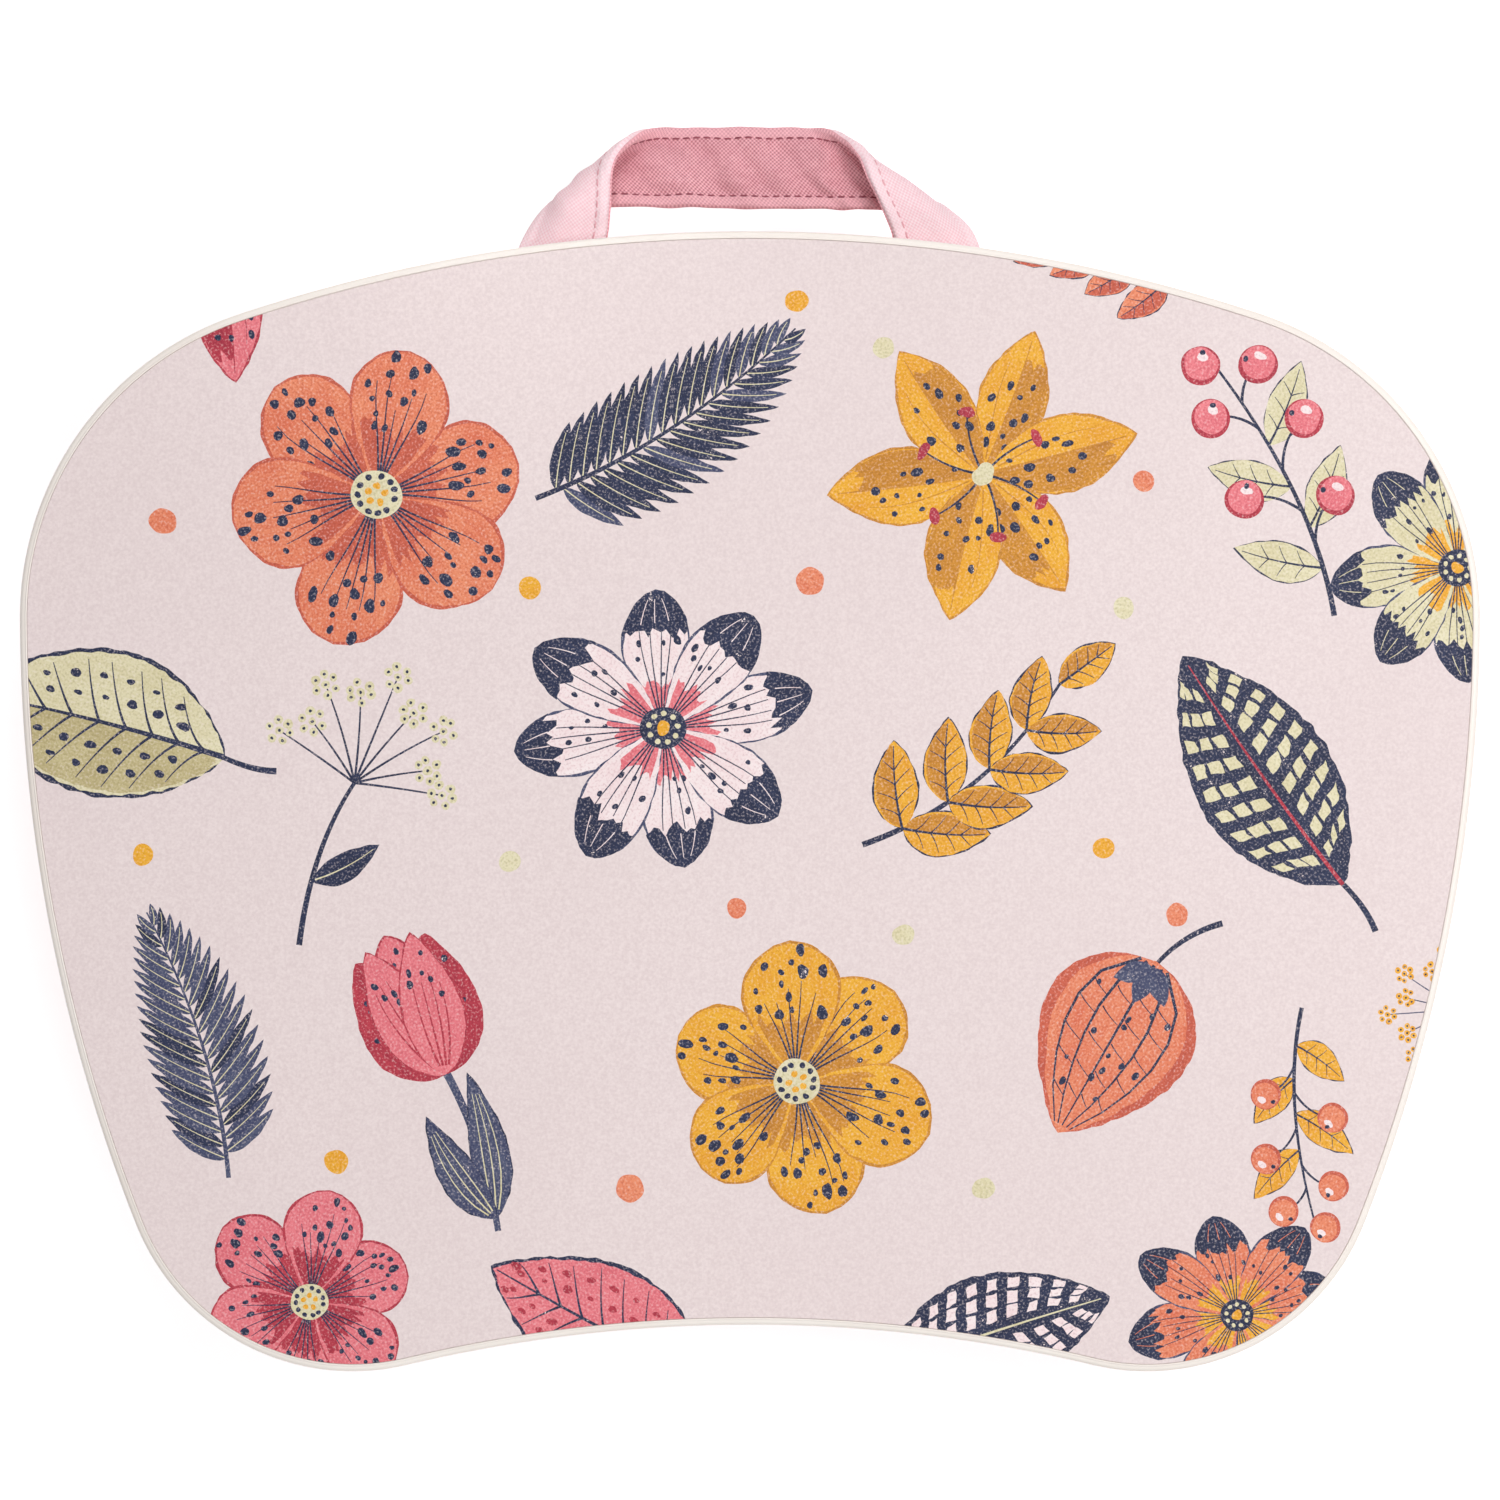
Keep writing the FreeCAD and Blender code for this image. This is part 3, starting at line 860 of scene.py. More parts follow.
def makeEdging():
    profile = edging["bead"] + turned(edging["shoulder"], 84, 0, 8) + turned(edging["foot"], 0, -90, 6)
    profile += edging["tongue"]
    profile += [(inset, 2 * edging["middle"] - height) for inset, height in reversed(edging["tongue"][1:])]
    piece = sweepRings("edgeLip", makeStations(edging["spacing"]), profile, True)
    faceOutward(piece)
    smoothShade(piece, 50)
    smooth, worn = edging["roughness"]
    material, tree, shader, drift = driftMaterial(
        "mouldedCream", edging["tones"], smooth, pitch=26.0, amount=0.45, uniform=edging["specular"]
    )
    tree.links.new(spread(tree, drift["Mask"], 0.0, 1.0, smooth, worn), shader.inputs["Roughness"])
    addPebble(tree, shader, *edging["grain"])
    setMaterial(piece, material)
    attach(piece, "tray")
    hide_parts("edge_moulding")
    return piece


edgeLip = makeEdging()
print("edging:", len(edgeLip.data.polygons), "faces")


# cloth and thread shared by the strap and the cushion
def makeCloth(name, tones, pitch, depth, drift, hem=None):
    finish = {"Specular IOR Level": 0.2, "Sheen Weight": 0.25}
    material, tree, shader, dyed = driftMaterial(
        name, tones, roughness=0.85, pitch=60.0, amount=drift, uniform=finish
    )
    tone, deep = (srgb(*colour) for colour in tones)
    place = placeOf(tree, "cloth")
    weave = useGroup(tree, weaveGroup, {"Vector": place, "Pitch": pitch})
    # painted shade: the weave's hollows take the deeper tone
    shade = calc(tree, "MULTIPLY", calc(tree, "SUBTRACT", 1.0, weave["Shade"]), 0.95)
    colour = mixTone(tree, shade, dyed["Color"], deep)
    if hem:
        across = addNode(tree, "ShaderNodeSeparateXYZ", {}, {0: place}).outputs[1]
        near = calc(tree, "MINIMUM", across, calc(tree, "SUBTRACT", hem["width"] * mm, across))
        full, gone, pale = hem["paintedHemHighlight"]
        hemLit = spread(tree, near, (hem["hem"] + full) * mm, (hem["hem"] + gone) * mm, pale, 0.0)
        colour = mixTone(tree, hemLit, colour, tone)  # painted highlight: the turned hem is drawn paler, as if lit
    tree.links.new(colour, shader.inputs["Base Color"])
    addBump(tree, shader, weave["Height"], strength=0.7, depth=depth)
    return material


def makeThread(name, tones):
    finish = {"Specular IOR Level": 0.3, "Sheen Weight": 0.2}
    material, tree, shader, drift = driftMaterial(
        name, tones, roughness=0.6, pitch=900.0, amount=0.7, uniform=finish
    )
    addBump(tree, shader, drift["Mask"], strength=0.5, depth=0.00005)
    return material


stitchShape = {  # a bowed bar of rings, each its share of the length, its girth and its lift
    "sides": 6,
    "flat": 0.7,
    "rings": ((-0.5, 0.45, -0.7), (-0.34, 0.9, 0.1), (0.0, 1.0, 0.35), (0.34, 0.9, 0.1), (0.5, 0.45, -0.7)),
}


def makeStitches(name, frames, length, radius, thread):
    # each stitch dips into the cloth at both ends
    sides, rings = stitchShape["sides"], stitchShape["rings"]
    verts, faces = [], []
    for centre, along, away in frames:
        across = along.cross(away).normalized()
        faces += ringFaces(len(verts), len(rings), sides)
        for share, girth, lift in rings:
            middle = centre + along * (length * share) + away * (radius * lift)
            for side in range(sides):
                x, y = polar(radius * girth, 2 * math.pi * side / sides)
                verts.append(middle + across * x + away * (stitchShape["flat"] * y))
    piece = newPiece(name, verts, faces)
    faceOutward(piece)
    smoothShade(piece, 70)
    setMaterial(piece, thread)
    return piece


# strap: one band of two sewn layers, folded over at each end of the grip
strap = {
    "width": 25.0,
    "lean": 12.5,
    "spacing": 94.3,
    "reach": 32.0,
    "foldRadius": 6.4,
    "hingeY": 153.046,
    "level": 53.4,
    "tail": 19.0,
    "layer": 0.8,
    "inside": 0.03,  # each layer's inner face, off the plane where they meet
    "hem": 3.7,
    "hemRise": 0.65,
    "paintedHemHighlight": (-0.5, 0.2, 0.4),  # painted highlight on the hems: where it starts to fade and where it ends, off the hem, and its strength
    "seam": (0.45, 0.1, 0.45),  # depth of the stitched groove, its place off the hem, and its width
    "edgeRound": 0.9,
    "edgeWave": 0.45,
    "overhang": 1.0,  # how far the lining stands out past the face, in edge waves
    "sag": (0.4, 50.0),
    "wrinkle": 1.75,
    "ripple": (0.34, 0.9),  # radians of the wrinkles for each mm along, and mm along for each mm across
    "rippleRamp": (2.0, 16.0),  # where they start along the strap, and over what length
    "hemSlack": (0.3, 1.0, 6.0),  # their share at the stiffer hems, where it grows, and over what length
    "legSlack": 0.12,
    "crease": (0.75, 31.0, 12.0),  # short folds by the grip's right end, where, and over what length
    "creaseRipple": 0.8,
    "curl": 1.25,  # how far the outer half rolls down beside the board, in radians
    "curlRamp": (2.0, 12.0),
    "pinch": (0.28, 176.2, 4.7),  # how the outer half draws in below the fold, where, and over what length
    "tuck": (2.0, 192.0, 8.0),  # how the fold's upper end draws in, from where, and over what length
    "sway": (3.6, 0.022),  # how the loose grip hangs to the left and draws in
    "swayRamp": (170.0, 22.0),
    "tip": (12.0, 0.1),  # degrees the grip's front edge is tipped up, and the loss for each mm to the right
    "narrowed": 0.02,  # share of the grip's width that its wrinkles take up
    "step": 0.8,
    "rows": 34,
    "stitch": 2.3,
    "stitchGap": 0.9,
    "stitchRadius": 0.32,
    "stitchLift": 0.08,
    "stitchStart": (12.0, 46.0),  # along the inner and the outer edge
    "weave": 1600.0,
    "faceTones": ((255, 230, 235), (245, 197, 206)),
    # the lining's deeper pink is partly its own colour and partly painted shade on the grip
    "liningShadedTones": ((255, 196, 204), (188, 110, 122)),
    "faceThread": ((232, 176, 184), (212, 146, 156)),
    # the lining's thread is drawn dark as painted shade of the stitch holes
    "liningThreadShaded": ((158, 82, 94), (132, 62, 76)),
}


def wrinkles(u, w, x):
    # soft folds aslant over the strap, with short tight ones by the right fold
    turns, skew = strap["ripple"]
    aslant, drift = u + skew * w, stray(u * 0.03, w * 0.05, 4.2)
    height = math.sin(turns * aslant + 5 * drift) * (0.35 + 0.8 * abs(stray(u * 0.04, w * 0.03, 9.1)))
    height += 0.5 * stray(u * 0.12 + w * 0.1, (w - u * 0.4) * 0.16, 8.9) - 0.45
    crease, *where = strap["crease"]
    bunched = hump(x, *where) * (0.6 + 0.8 * stray(u * 0.09, w * 0.07, 6.3))
    height += crease * bunched * math.sin(strap["creaseRipple"] * aslant + 2 * drift)
    share, *inward = strap["hemSlack"]
    slack = share + (1 - share) * ramp(min(w, strap["width"] - w), *inward)
    return strap["wrinkle"] * height * slack


def strapMap():
    lean = math.radians(strap["lean"])
    slant = (upright - lean) / 2
    heading = Vector((-math.sin(lean), math.cos(lean), 0))
    aside = Vector((math.cos(lean), math.sin(lean), 0))
    rule = Vector((-math.cos(slant), math.sin(slant), 0))
    outward = Vector((math.sin(slant), math.cos(slant), 0))
    up = Vector((0, 0, 1))
    radius, width = strap["foldRadius"], strap["width"]
    gripTop = trayShape["depth"] / 2 + strap["reach"]
    corner = Vector((strap["spacing"] / 2, strap["hingeY"], strap["level"]))
    bendRun = radius * math.pi * heading.dot(rule) / heading.dot(outward)
    rise = gripTop - strap["hingeY"] - rule.y * bendRun
    foldStart = corner + heading * (rise / heading.y)
    half = rise / heading.y + foldStart.x + outward.x * math.pi * radius

    def flatToFold(u, w):
        # a flat point of the cut strap, carried round the fold without stretching
        flat = corner + heading * u + aside * w - foldStart
        past, along = flat.dot(outward), flat.dot(rule)
        if past <= 0:
            return foldStart + flat, up.copy(), 0.0
        angle = min(past / radius, math.pi)
        cos, sin = math.cos(angle), math.sin(angle)
        spot = foldStart + rule * along + outward * (radius * sin) - up * (radius * (1 - cos))
        spot -= outward * max(0.0, past - math.pi * radius)
        return spot, up * cos + outward * sin, angle / math.pi

    def onStrap(u, w, lift):
        lead = strap["overhang"] if lift < 0 else 0.0
        w += strap["edgeWave"] * (1 - 2 * w / width) * (stray(u * 0.11, lift * 0.3, 1.7) - lead)
        mirrored = u > half
        run = 2 * half - u if mirrored else u
        spot, normal, turn = flatToFold(run, w)
        loose = turn * turn
        over = max(0.0, w - width / 2)
        roll = strap["curl"] * 2 * over / width * ramp(run, *strap["curlRamp"]) * (1 - turn) ** 2
        if roll > 1e-4:
            spot -= aside * (over * (1 - math.sin(roll) / roll)) + up * (over * (1 - math.cos(roll)) / roll)
            normal = (normal * math.cos(roll) + aside * math.sin(roll)).normalized()
        pinch, *where = strap["pinch"]
        spot.x -= pinch * over * (1 - turn) * hump(spot.y, *where)
        tuck, *where = strap["tuck"]
        spot.x -= tuck * 4 * turn * (1 - turn) * ramp(spot.y, *where)
        if mirrored:
            spot.x, normal.x = -spot.x, -normal.x
        shift, drawn = strap["sway"]
        spot.x -= (shift + drawn * spot.x) * ramp(spot.y, *strap["swayRamp"])
        tip, fade = strap["tip"]
        gripEdge = Vector((spot.x, gripTop, strap["level"] - 2 * radius))
        spot.y += strap["narrowed"] * (gripTop - spot.y) * loose
        tipped = Matrix.Rotation(-math.radians(tip - fade * spot.x) * loose, 3, "X")
        spot, normal = gripEdge + tipped @ (spot - gripEdge), tipped @ normal
        sag, reach = strap["sag"]
        give = (strap["legSlack"] + (1 - strap["legSlack"]) * loose) * ramp(run, *strap["rippleRamp"])
        height = lift + wrinkles(u, w, spot.x) * give
        spot.z -= sag * loose * max(0.0, 1 - (spot.x / reach) ** 2)
        return spot + normal * height, normal

    return onStrap, half


def hemLift(w):
    # outer face of a layer over its width: a turned hem, a stitched groove and a rounded edge
    near = min(w, strap["width"] - w)
    hem = min(1.0, max(0.0, (strap["hem"] + 0.5 - near) / 0.8))
    depth, off, width = strap["seam"]
    lift = strap["layer"] + strap["hemRise"] * hem - depth * hump(near, strap["hem"] - off, width)
    edge = min(1.0, near / strap["edgeRound"])
    return lift * math.sqrt(max(0.02, 1 - (1 - edge) ** 2))


def makeStrapLayer(name, side, material):
    onStrap, half = strapMap()
    length = 2 * half + 2 * strap["tail"]
    columns, rows = round(length / strap["step"]), strap["rows"]
    shares = [0.5 - 0.5 * math.cos(math.pi * row / rows) for row in range(rows + 1)]
    widths = [strap["width"] * (0.55 * share + 0.45 * row / rows) for row, share in enumerate(shares)]
    loop = [(w, side * hemLift(w)) for w in widths] + [(w, side * strap["inside"]) for w in reversed(widths)]
    verts, places = [], []
    for column in range(columns + 1):
        u = -strap["tail"] + length * column / columns
        for w, lift in loop:
            verts.append(onStrap(u, w, lift)[0])
            places.append((u * mm, w * mm))
    piece = newPiece(name, verts, ringFaces(0, columns + 1, len(loop)))
    layer = piece.data.uv_layers.new(name="cloth")
    for loopCorner in piece.data.loops:
        layer.data[loopCorner.index].uv = places[loopCorner.vertex_index]
    faceOutward(piece)
    smoothShade(piece, 60)
    setMaterial(piece, material)
    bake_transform(piece)
    return piece


def makeStrapStitches(name, side, thread):
    onStrap, half = strapMap()
    pitch, inset = strap["stitch"] + strap["stitchGap"], strap["hem"] - strap["seam"][1]
    frames = []
    for w, start in zip((inset, strap["width"] - inset), strap["stitchStart"]):
        level = side * (hemLift(w) + strap["stitchLift"])
        run = 2 * half - 2 * start
        count = int(run / pitch)
        for number in range(count):
            u = start + run * (number + 0.5) / count
            spot, normal = onStrap(u, w, level)
            ahead = onStrap(u + 0.3, w, level)[0] - onStrap(u - 0.3, w, level)[0]
            frames.append((spot, ahead.normalized(), normal * side))
    piece = makeStitches(name, frames, strap["stitch"], strap["stitchRadius"], thread)
    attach(piece, "handle")
    return piece


faceCloth = makeCloth("strapFaceCloth", strap["faceTones"], strap["weave"], 0.00018, 0.2, strap)
liningCloth = makeCloth("strapLiningCloth", strap["liningShadedTones"], strap["weave"], 0.0002, 0.3, strap)
strapFace = makeStrapLayer("strapFace", 1, faceCloth)
strapLining = makeStrapLayer("strapLining", -1, liningCloth)
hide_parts("handle_face", "strap_tail_left", "strap_tail_right")
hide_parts("handle_lining")
strapLength = 2 * (strapMap()[1] + strap["tail"]) * mm
faceStitches = makeStrapStitches("strapFaceStitches", 1, makeThread("paleThread", strap["faceThread"]))
liningStitches = makeStrapStitches("strapLiningStitches", -1, makeThread("deepThread", strap["liningThreadShaded"]))
print("strap:", round(strapLength / mm), "mm long,", len(strapFace.data.polygons), "faces a layer")


# cushion: a sewn cover round beads, swollen by cloth simulation between the board and its base seam
cushion = {
    "spacing": 5.0,
    "top": 54.9,
    "topTuck": (0.4, 0.7),  # inset and drop of its rounded edge
    "bandCentre": (54.0, 34.0),
    "bandRadius": 41.0,  # a little slimmer than the solids, for the swelling
    "seamHeight": 14.0,
    "crownInset": 58.0,
    "crownSink": 0.5,  # how far below the floor the crown's arc would end
    "crownStop": 0.6,  # height above that end where the flat base starts
    "voxel": 0.005,
    "heldAbove": 52.5,
    "heldNear": 4.0,  # reach of the base seam's hold
    "frames": 20,
    "cover": {
        "quality": 6,
        "mass": 0.2,
        "tension_stiffness": 18,
        "compression_stiffness": 12,
        "shear_stiffness": 6,
        "bending_stiffness": 0.35,
        "use_pressure": True,
        "uniform_pressure_force": 4.0,
        "shrink_min": -0.045,
        "vertex_group_mass": "held",
    },
    "cap": 3.0,  # most that the cover may swell
    "cuts": (-2.4, -1.2, 0.0, 1.2, 2.4),  # rings cut round the seam, off its height
    "snap": 0.4,
    "cutReach": 4.0,
    "groove": 2.5,
    "grooveWidth": 1.5,
    "pucker": (0.9, 3.5, 3.5),  # depth, place off the seam, and width
    "puckerReach": 16.0,
    "sideInset": 12.0,
    "weave": 1400.0,
    "tones": ((244, 182, 191), (222, 150, 161)),
    # the thread's deeper rose is partly its own colour and partly painted shade of the stitch holes
    "thread": ((198, 116, 129), (172, 92, 106)),
    "stitchPitch": 4.0,
    "stitchRise": 4.5,
    "stitchRadius": 0.3,
}


def cushionProfile():
    inset, level = cushion["bandCentre"]
    radius, seamHeight, crownInset = cushion["bandRadius"], cushion["seamHeight"], cushion["crownInset"]
    (tuck, fall), sink = cushion["topTuck"], cushion["crownSink"]

    def steepness(rise, reach):
        return math.degrees(math.asin(rise / reach))

    top = steepness(cushion["top"] - fall - level, radius)
    band = turned((inset, level, radius), top, steepness(seamHeight - level, radius), 10)
    seamInset = band[-1][0]
    run, drop = crownInset - seamInset, seamHeight + sink
    crownRadius = (run**2 + drop**2) / (2 * drop)
    lean, rest = (steepness(rise - crownRadius, crownRadius) for rise in (drop, cushion["crownStop"]))
    base = turned((crownInset, crownRadius - sink, crownRadius), lean, rest, 9)
    return [(band[0][0] + tuck, cushion["top"])] + band + base[1:], seamInset


def bakedCopy(piece, name):
    graph = bpy.context.evaluated_depsgraph_get()
    mesh = bpy.data.meshes.new_from_object(piece.evaluated_get(graph))
    copy = bpy.data.objects.new(name, mesh)
    scene.collection.objects.link(copy)
    return copy


def positions(mesh):
    flat = np.empty(len(mesh.vertices) * 3)
    mesh.vertices.foreach_get("co", flat)
    return flat.reshape(-1, 3)


def treeOf(points):
    tree = KDTree(len(points))
    for index, point in enumerate(points):
        tree.insert(point, index)
    tree.balance()
    return tree


def swell(form, seamRing):
    # cloth under pressure, held along the board and along the base seam
    rest = positions(form.data).copy()
    held = form.vertex_groups.new(name="held")
    tree = treeOf(seamRing)
    for vert in form.data.vertices:
        if vert.co.z > cushion["heldAbove"] * mm:
            held.add([vert.index], 1.0, "REPLACE")
        elif tree.find(vert.co)[2] < cushion["heldNear"] * mm:
            held.add([vert.index], 0.7, "REPLACE")
    cloth = form.modifiers.new("cover", "CLOTH")
    for key, value in cushion["cover"].items():
        setattr(cloth.settings, key, value)
    cloth.settings.effector_weights.gravity = 0
    cloth.point_cache.frame_start = 1
    cloth.point_cache.frame_end = cushion["frames"]
    for number in range(1, cushion["frames"] + 1):
        scene.frame_set(number)
    swollen = bakedCopy(form, "cushionCover")
    scene.frame_set(1)
    moved = positions(swollen.data) - rest
    reach = np.linalg.norm(moved, axis=1)
    cap = cushion["cap"] * mm
    moved *= (cap * np.tanh(reach / cap) / np.maximum(reach, 1e-9))[:, None]
    settled = rest + moved
    settled[:, 2] = np.clip(settled[:, 2], 0.0, cushion["top"] * mm)
    swollen.data.vertices.foreach_set("co", settled.ravel())
    swollen.data.update()
    swollen.vertex_groups.clear()
    return swollen


def sewGroove(piece, seamRing):
    # the sewn crease of the base seam, cut into the mesh as rings, with puckers on both sides of it
    form = bmesh.new()
    form.from_mesh(piece.data)
    seam, snap, reach = cushion["seamHeight"], cushion["snap"] * mm, cushion["cutReach"]
    for level in cushion["cuts"]:
        everything = form.verts[:] + form.edges[:] + form.faces[:]
        cut = {"plane_co": (0, 0, (seam + level) * mm), "plane_no": (0, 0, 1)}
        bmesh.ops.bisect_plane(form, geom=everything, dist=snap, use_snap_center=True, **cut)
    close = [vert for vert in form.verts if abs(vert.co.z / mm - seam) < reach]
    bmesh.ops.remove_doubles(form, verts=close, dist=snap)
    near = [face for face in form.faces if abs(face.calc_center_median().z / mm - seam) < reach]
    bmesh.ops.triangulate(form, faces=near)
    form.normal_update()
    tree = treeOf(seamRing)
    depth, *where = cushion["pucker"]
    for vert in form.verts:
        _, index, away = tree.find(vert.co)
        if away > cushion["puckerReach"] * mm:
            continue
        rise = vert.co.z / mm - seam
        ahead = seamRing[(index + 1) % len(seamRing)] - seamRing[index - 1]
        outward = Vector((ahead.y, -ahead.x, 0)).normalized()
        groove = cushion["groove"] * hump(rise, 0.0, cushion["grooveWidth"])
        pucker = depth * stray(index * 0.17, 3.0 if rise > 0 else 8.0, 2.0) * hump(abs(rise), *where)
        vert.co -= (outward * groove + vert.normal * pucker) * mm
        vert.co.z = max(vert.co.z, 0.0)
    form.to_mesh(piece.data)
    form.free()


def clothPlaces(piece, stations):
    # flat cloth takes its place from above, and the band from its travel round the tray
    mesh = piece.data
    layer = mesh.uv_layers.new(name="cloth")
    ring = [Vector(point) * mm for point in ringAt(stations, cushion["sideInset"])]
    tree = treeOf([(*point, 0) for point in ring])
    travel = [0.0]
    for first, second in zip(ring, ring[1:]):
        travel.append(travel[-1] + (second - first).length)
    for polygon in mesh.polygons:
        index = tree.find((*polygon.center.xy, 0))[1]
        start = ring[index]
        ahead = (ring[(index + 1) % len(ring)] - start).normalized()
        for corner in polygon.loop_indices:
            spot = mesh.vertices[mesh.loops[corner].vertex_index].co
            if abs(polygon.normal.z) > 0.72:
                layer.data[corner].uv = (spot.x, spot.y)
            else:
                layer.data[corner].uv = (travel[index] + (spot.xy - start).dot(ahead), spot.z)


def makeCushion():
    profile, seamInset = cushionProfile()
    stations = makeStations(cushion["spacing"])
    seamRing = [Vector((x, y, cushion["seamHeight"])) * mm for x, y in ringAt(makeStations(1.5), seamInset)]
    form = sweepRings("cushionForm", stations, profile, False)
    faceOutward(form)
    even = form.modifiers.new("even", "REMESH")
    even.mode = "VOXEL"
    even.voxel_size = cushion["voxel"]
    start = bakedCopy(form, "cushionStart")
    bpy.data.objects.remove(form)
    piece = swell(start, seamRing)
    bpy.data.objects.remove(start)
    finer = piece.modifiers.new("finer", "SUBSURF")
    finer.levels = finer.render_levels = 1
    fine = bakedCopy(piece, "cushion")
    bpy.data.objects.remove(piece)
    sewGroove(fine, seamRing)
    clothPlaces(fine, stations)
    smoothShade(fine, 180)
    setMaterial(fine, makeCloth("cushionCloth", cushion["tones"], cushion["weave"], 0.00018, 0.35))
    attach(fine, "tray")
    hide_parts("cushion_top_panel", "cushion_side_band", "cushion_base_panel", "bead_fill")
    return fine, seamInset


def makeCushionStitches(piece, seamInset):
    # one row of stitches above the base seam, laid on the swollen cover
    form = bmesh.new()
    form.from_mesh(piece.data)
    surface = BVHTree.FromBMesh(form)
    pitch, height = cushion["stitchPitch"], cushion["seamHeight"] + cushion["stitchRise"]
    ring = [Vector((x, y, height)) for x, y in ringAt(makeStations(pitch), seamInset - 1.5)]
    frames = []
    for step, place in enumerate(ring):
        ahead = ring[(step + 1) % len(ring)] - ring[step - 1]
        spot, normal, _, _ = surface.find_nearest(place * mm)
        along = (ahead - normal * ahead.dot(normal)).normalized()
        frames.append((spot / mm + normal * 0.05, along, normal))
    form.free()
    thread = makeThread("roseThread", cushion["thread"])
    stitches = makeStitches("cushionStitches", frames, pitch * 0.7, cushion["stitchRadius"], thread)
    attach(stitches, "tray")


cushionPiece, cushionSeam = makeCushion()
makeCushionStitches(cushionPiece, cushionSeam)
print("cushion:", len(cushionPiece.data.polygons), "faces")


# solids that stay as they are, with their own finishes: two tones, and a third for fibres or specks
finishes = {
    "fibre": ((184, 148, 108), (158, 122, 84), (134, 100, 68)),
    "paper": ((236, 230, 219), (218, 209, 194), (206, 196, 178)),
    "wire": ((206, 206, 208), (172, 171, 172)),
}


def makeFibreboard():
    *tones, dark = finishes["fibre"]
    material, tree, shader, drift = driftMaterial("pressedFibre", tones, roughness=0.8, pitch=40.0, amount=0.6)
    fibres = grainOf(tree, stretched(tree, placeOf(tree), (1.0, 1.0, 6.0)), scale=420.0, detail=5.0)
    colour = mixTone(tree, spread(tree, fibres, 0.35, 0.75), drift["Color"], srgb(*dark))
    tree.links.new(colour, shader.inputs["Base Color"])
    addBump(tree, shader, fibres, strength=0.4, depth=0.0001)
    return material


def makeBackingPaper():
    *tones, dark = finishes["paper"]
    material, tree, shader, drift = driftMaterial("backingPaper", tones, roughness=0.7, pitch=18.0, amount=0.5)
    shade = addPebble(tree, shader, pitch=900.0, strength=0.3, depth=0.00006)
    speck = calc(tree, "MULTIPLY", shade, 0.25)
    tree.links.new(mixTone(tree, speck, drift["Color"], srgb(*dark)), shader.inputs["Base Color"])
    return material


def makeStapleWire():
    smooth, worn = 0.28, 0.5
    material, tree, shader, drift = driftMaterial(
        "stapleWire", finishes["wire"], smooth, pitch=700.0, amount=0.6, uniform={"Metallic": 1.0}
    )
    tree.links.new(spread(tree, drift["Mask"], 0.0, 1.0, smooth, worn), shader.inputs["Roughness"])
    return material


wire = makeStapleWire()
for nodeName, finish in (
    ("board_core", makeFibreboard()),
    ("underside_sheet", makeBackingPaper()),
    ("panel_staples", wire),
    ("strap_staples", wire),
):
    setMaterial(cad[nodeName], finish)
print("solids finished")


# stage: pale floor, soft studio light and a camera straight above
studio = {
    "floorSize": 12.0,
    "floorDrop": 0.0005,
    "floorTones": ((244, 243, 243), (236, 235, 235)),
    "floorGlow": 0.55,  # only what the camera sees, so that the ground is white and keeps its shadow
    "worldTone": 0.34,
    "lamps": {  # place, aim, size, power, and spread in degrees
        "keyLamp": ((0.75, 0.2, 1.25), (0.0, 0.0, 0.0), 0.7, 8.0, 180.0),
        "frontLamp": ((0.2, -1.5, 1.5), (0.0, 0.0, 0.0), 1.4, 11.6, 180.0),
        "backLamp": ((-0.1, 1.6, 1.5), (0.0, 0.0, 0.0), 1.4, 13.4, 180.0),
        "cornerLamp": ((-0.14, 0.27, 0.5), (-0.068, 0.18, 0.05), 0.1, 0.005, 28.0),  # on the strap's left leg
    },
    "cameraHeight": 3.064,
    "cameraY": 0.0154,
    "lens": 240.2,
    "sensor": 36.0,
}


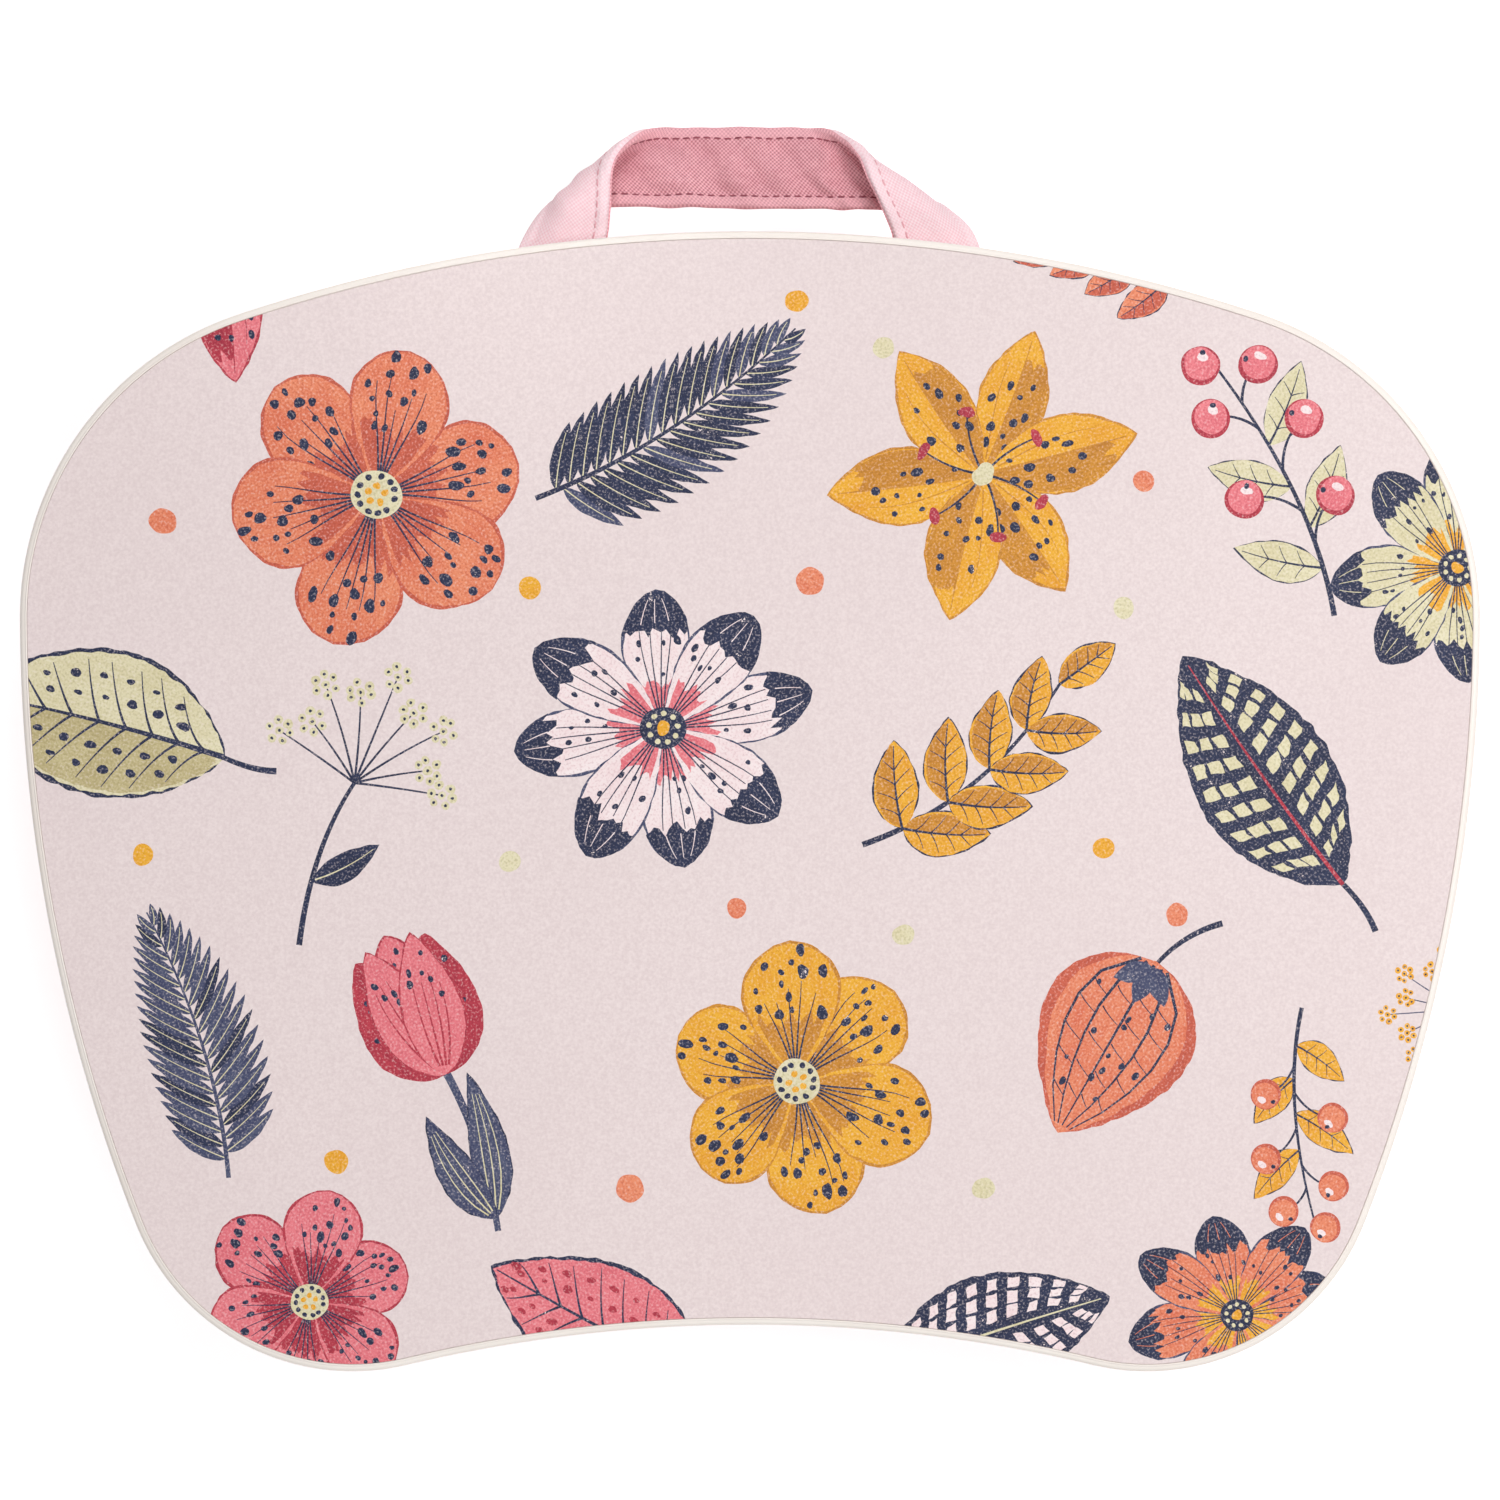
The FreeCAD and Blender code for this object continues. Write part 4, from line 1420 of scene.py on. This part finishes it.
def makeFloor():
    half = studio["floorSize"] / 2
    corners = [(-half, -half, 0), (half, -half, 0), (half, half, 0), (-half, half, 0)]
    floor = newPiece("floor", corners, [(0, 1, 2, 3)], 1.0)
    floor.location.z = -studio["floorDrop"]
    material, tree, shader, _ = driftMaterial(
        "paleFloor", studio["floorTones"], roughness=0.9, pitch=3.0, amount=0.15
    )
    rays = addNode(tree, "ShaderNodeLightPath").outputs
    seen = calc(tree, "MAXIMUM", rays["Is Camera Ray"], rays["Is Glossy Ray"])
    seen = calc(tree, "MAXIMUM", seen, rays["Is Transmission Ray"])
    strength = calc(tree, "MULTIPLY", seen, studio["floorGlow"])
    glow = addNode(tree, "ShaderNodeEmission", {}, {"Strength": strength})
    both = addNode(tree, "ShaderNodeAddShader", {}, {0: shader.outputs[0], 1: glow.outputs[0]})
    tree.links.new(both.outputs[0], tree.nodes["Material Output"].inputs["Surface"])
    setMaterial(floor, material)


def addHolder(name, data, at):
    holder = bpy.data.objects.new(name, data)
    scene.collection.objects.link(holder)
    holder.location = at
    return holder


def addLamp(name, at, aim, size, power, spreadAngle):
    lamp = bpy.data.lights.new(name, "AREA")
    lamp.shape = "DISK"
    lamp.size = size
    lamp.energy = power
    lamp.spread = math.radians(spreadAngle)
    aimed = (Vector(aim) - Vector(at)).to_track_quat("-Z", "Y")
    addHolder(name, lamp, at).rotation_euler = aimed.to_euler()


def makeStudio():
    makeFloor()
    world = bpy.data.worlds.new("studioAir")
    scene.world = world
    world.use_nodes = True
    air = world.node_tree.nodes["Background"]
    air.inputs["Color"].default_value = (1.0, 1.0, 1.0, 1.0)
    air.inputs["Strength"].default_value = studio["worldTone"]
    for name, values in studio["lamps"].items():
        addLamp(name, *values)
    camera = bpy.data.cameras.new("aboveCamera")
    camera.lens = studio["lens"]
    camera.sensor_width = studio["sensor"]
    scene.camera = addHolder("aboveCamera", camera, (0.0, studio["cameraY"], studio["cameraHeight"]))
    scene.view_settings.view_transform = "Standard"


makeStudio()
print("studio ready")
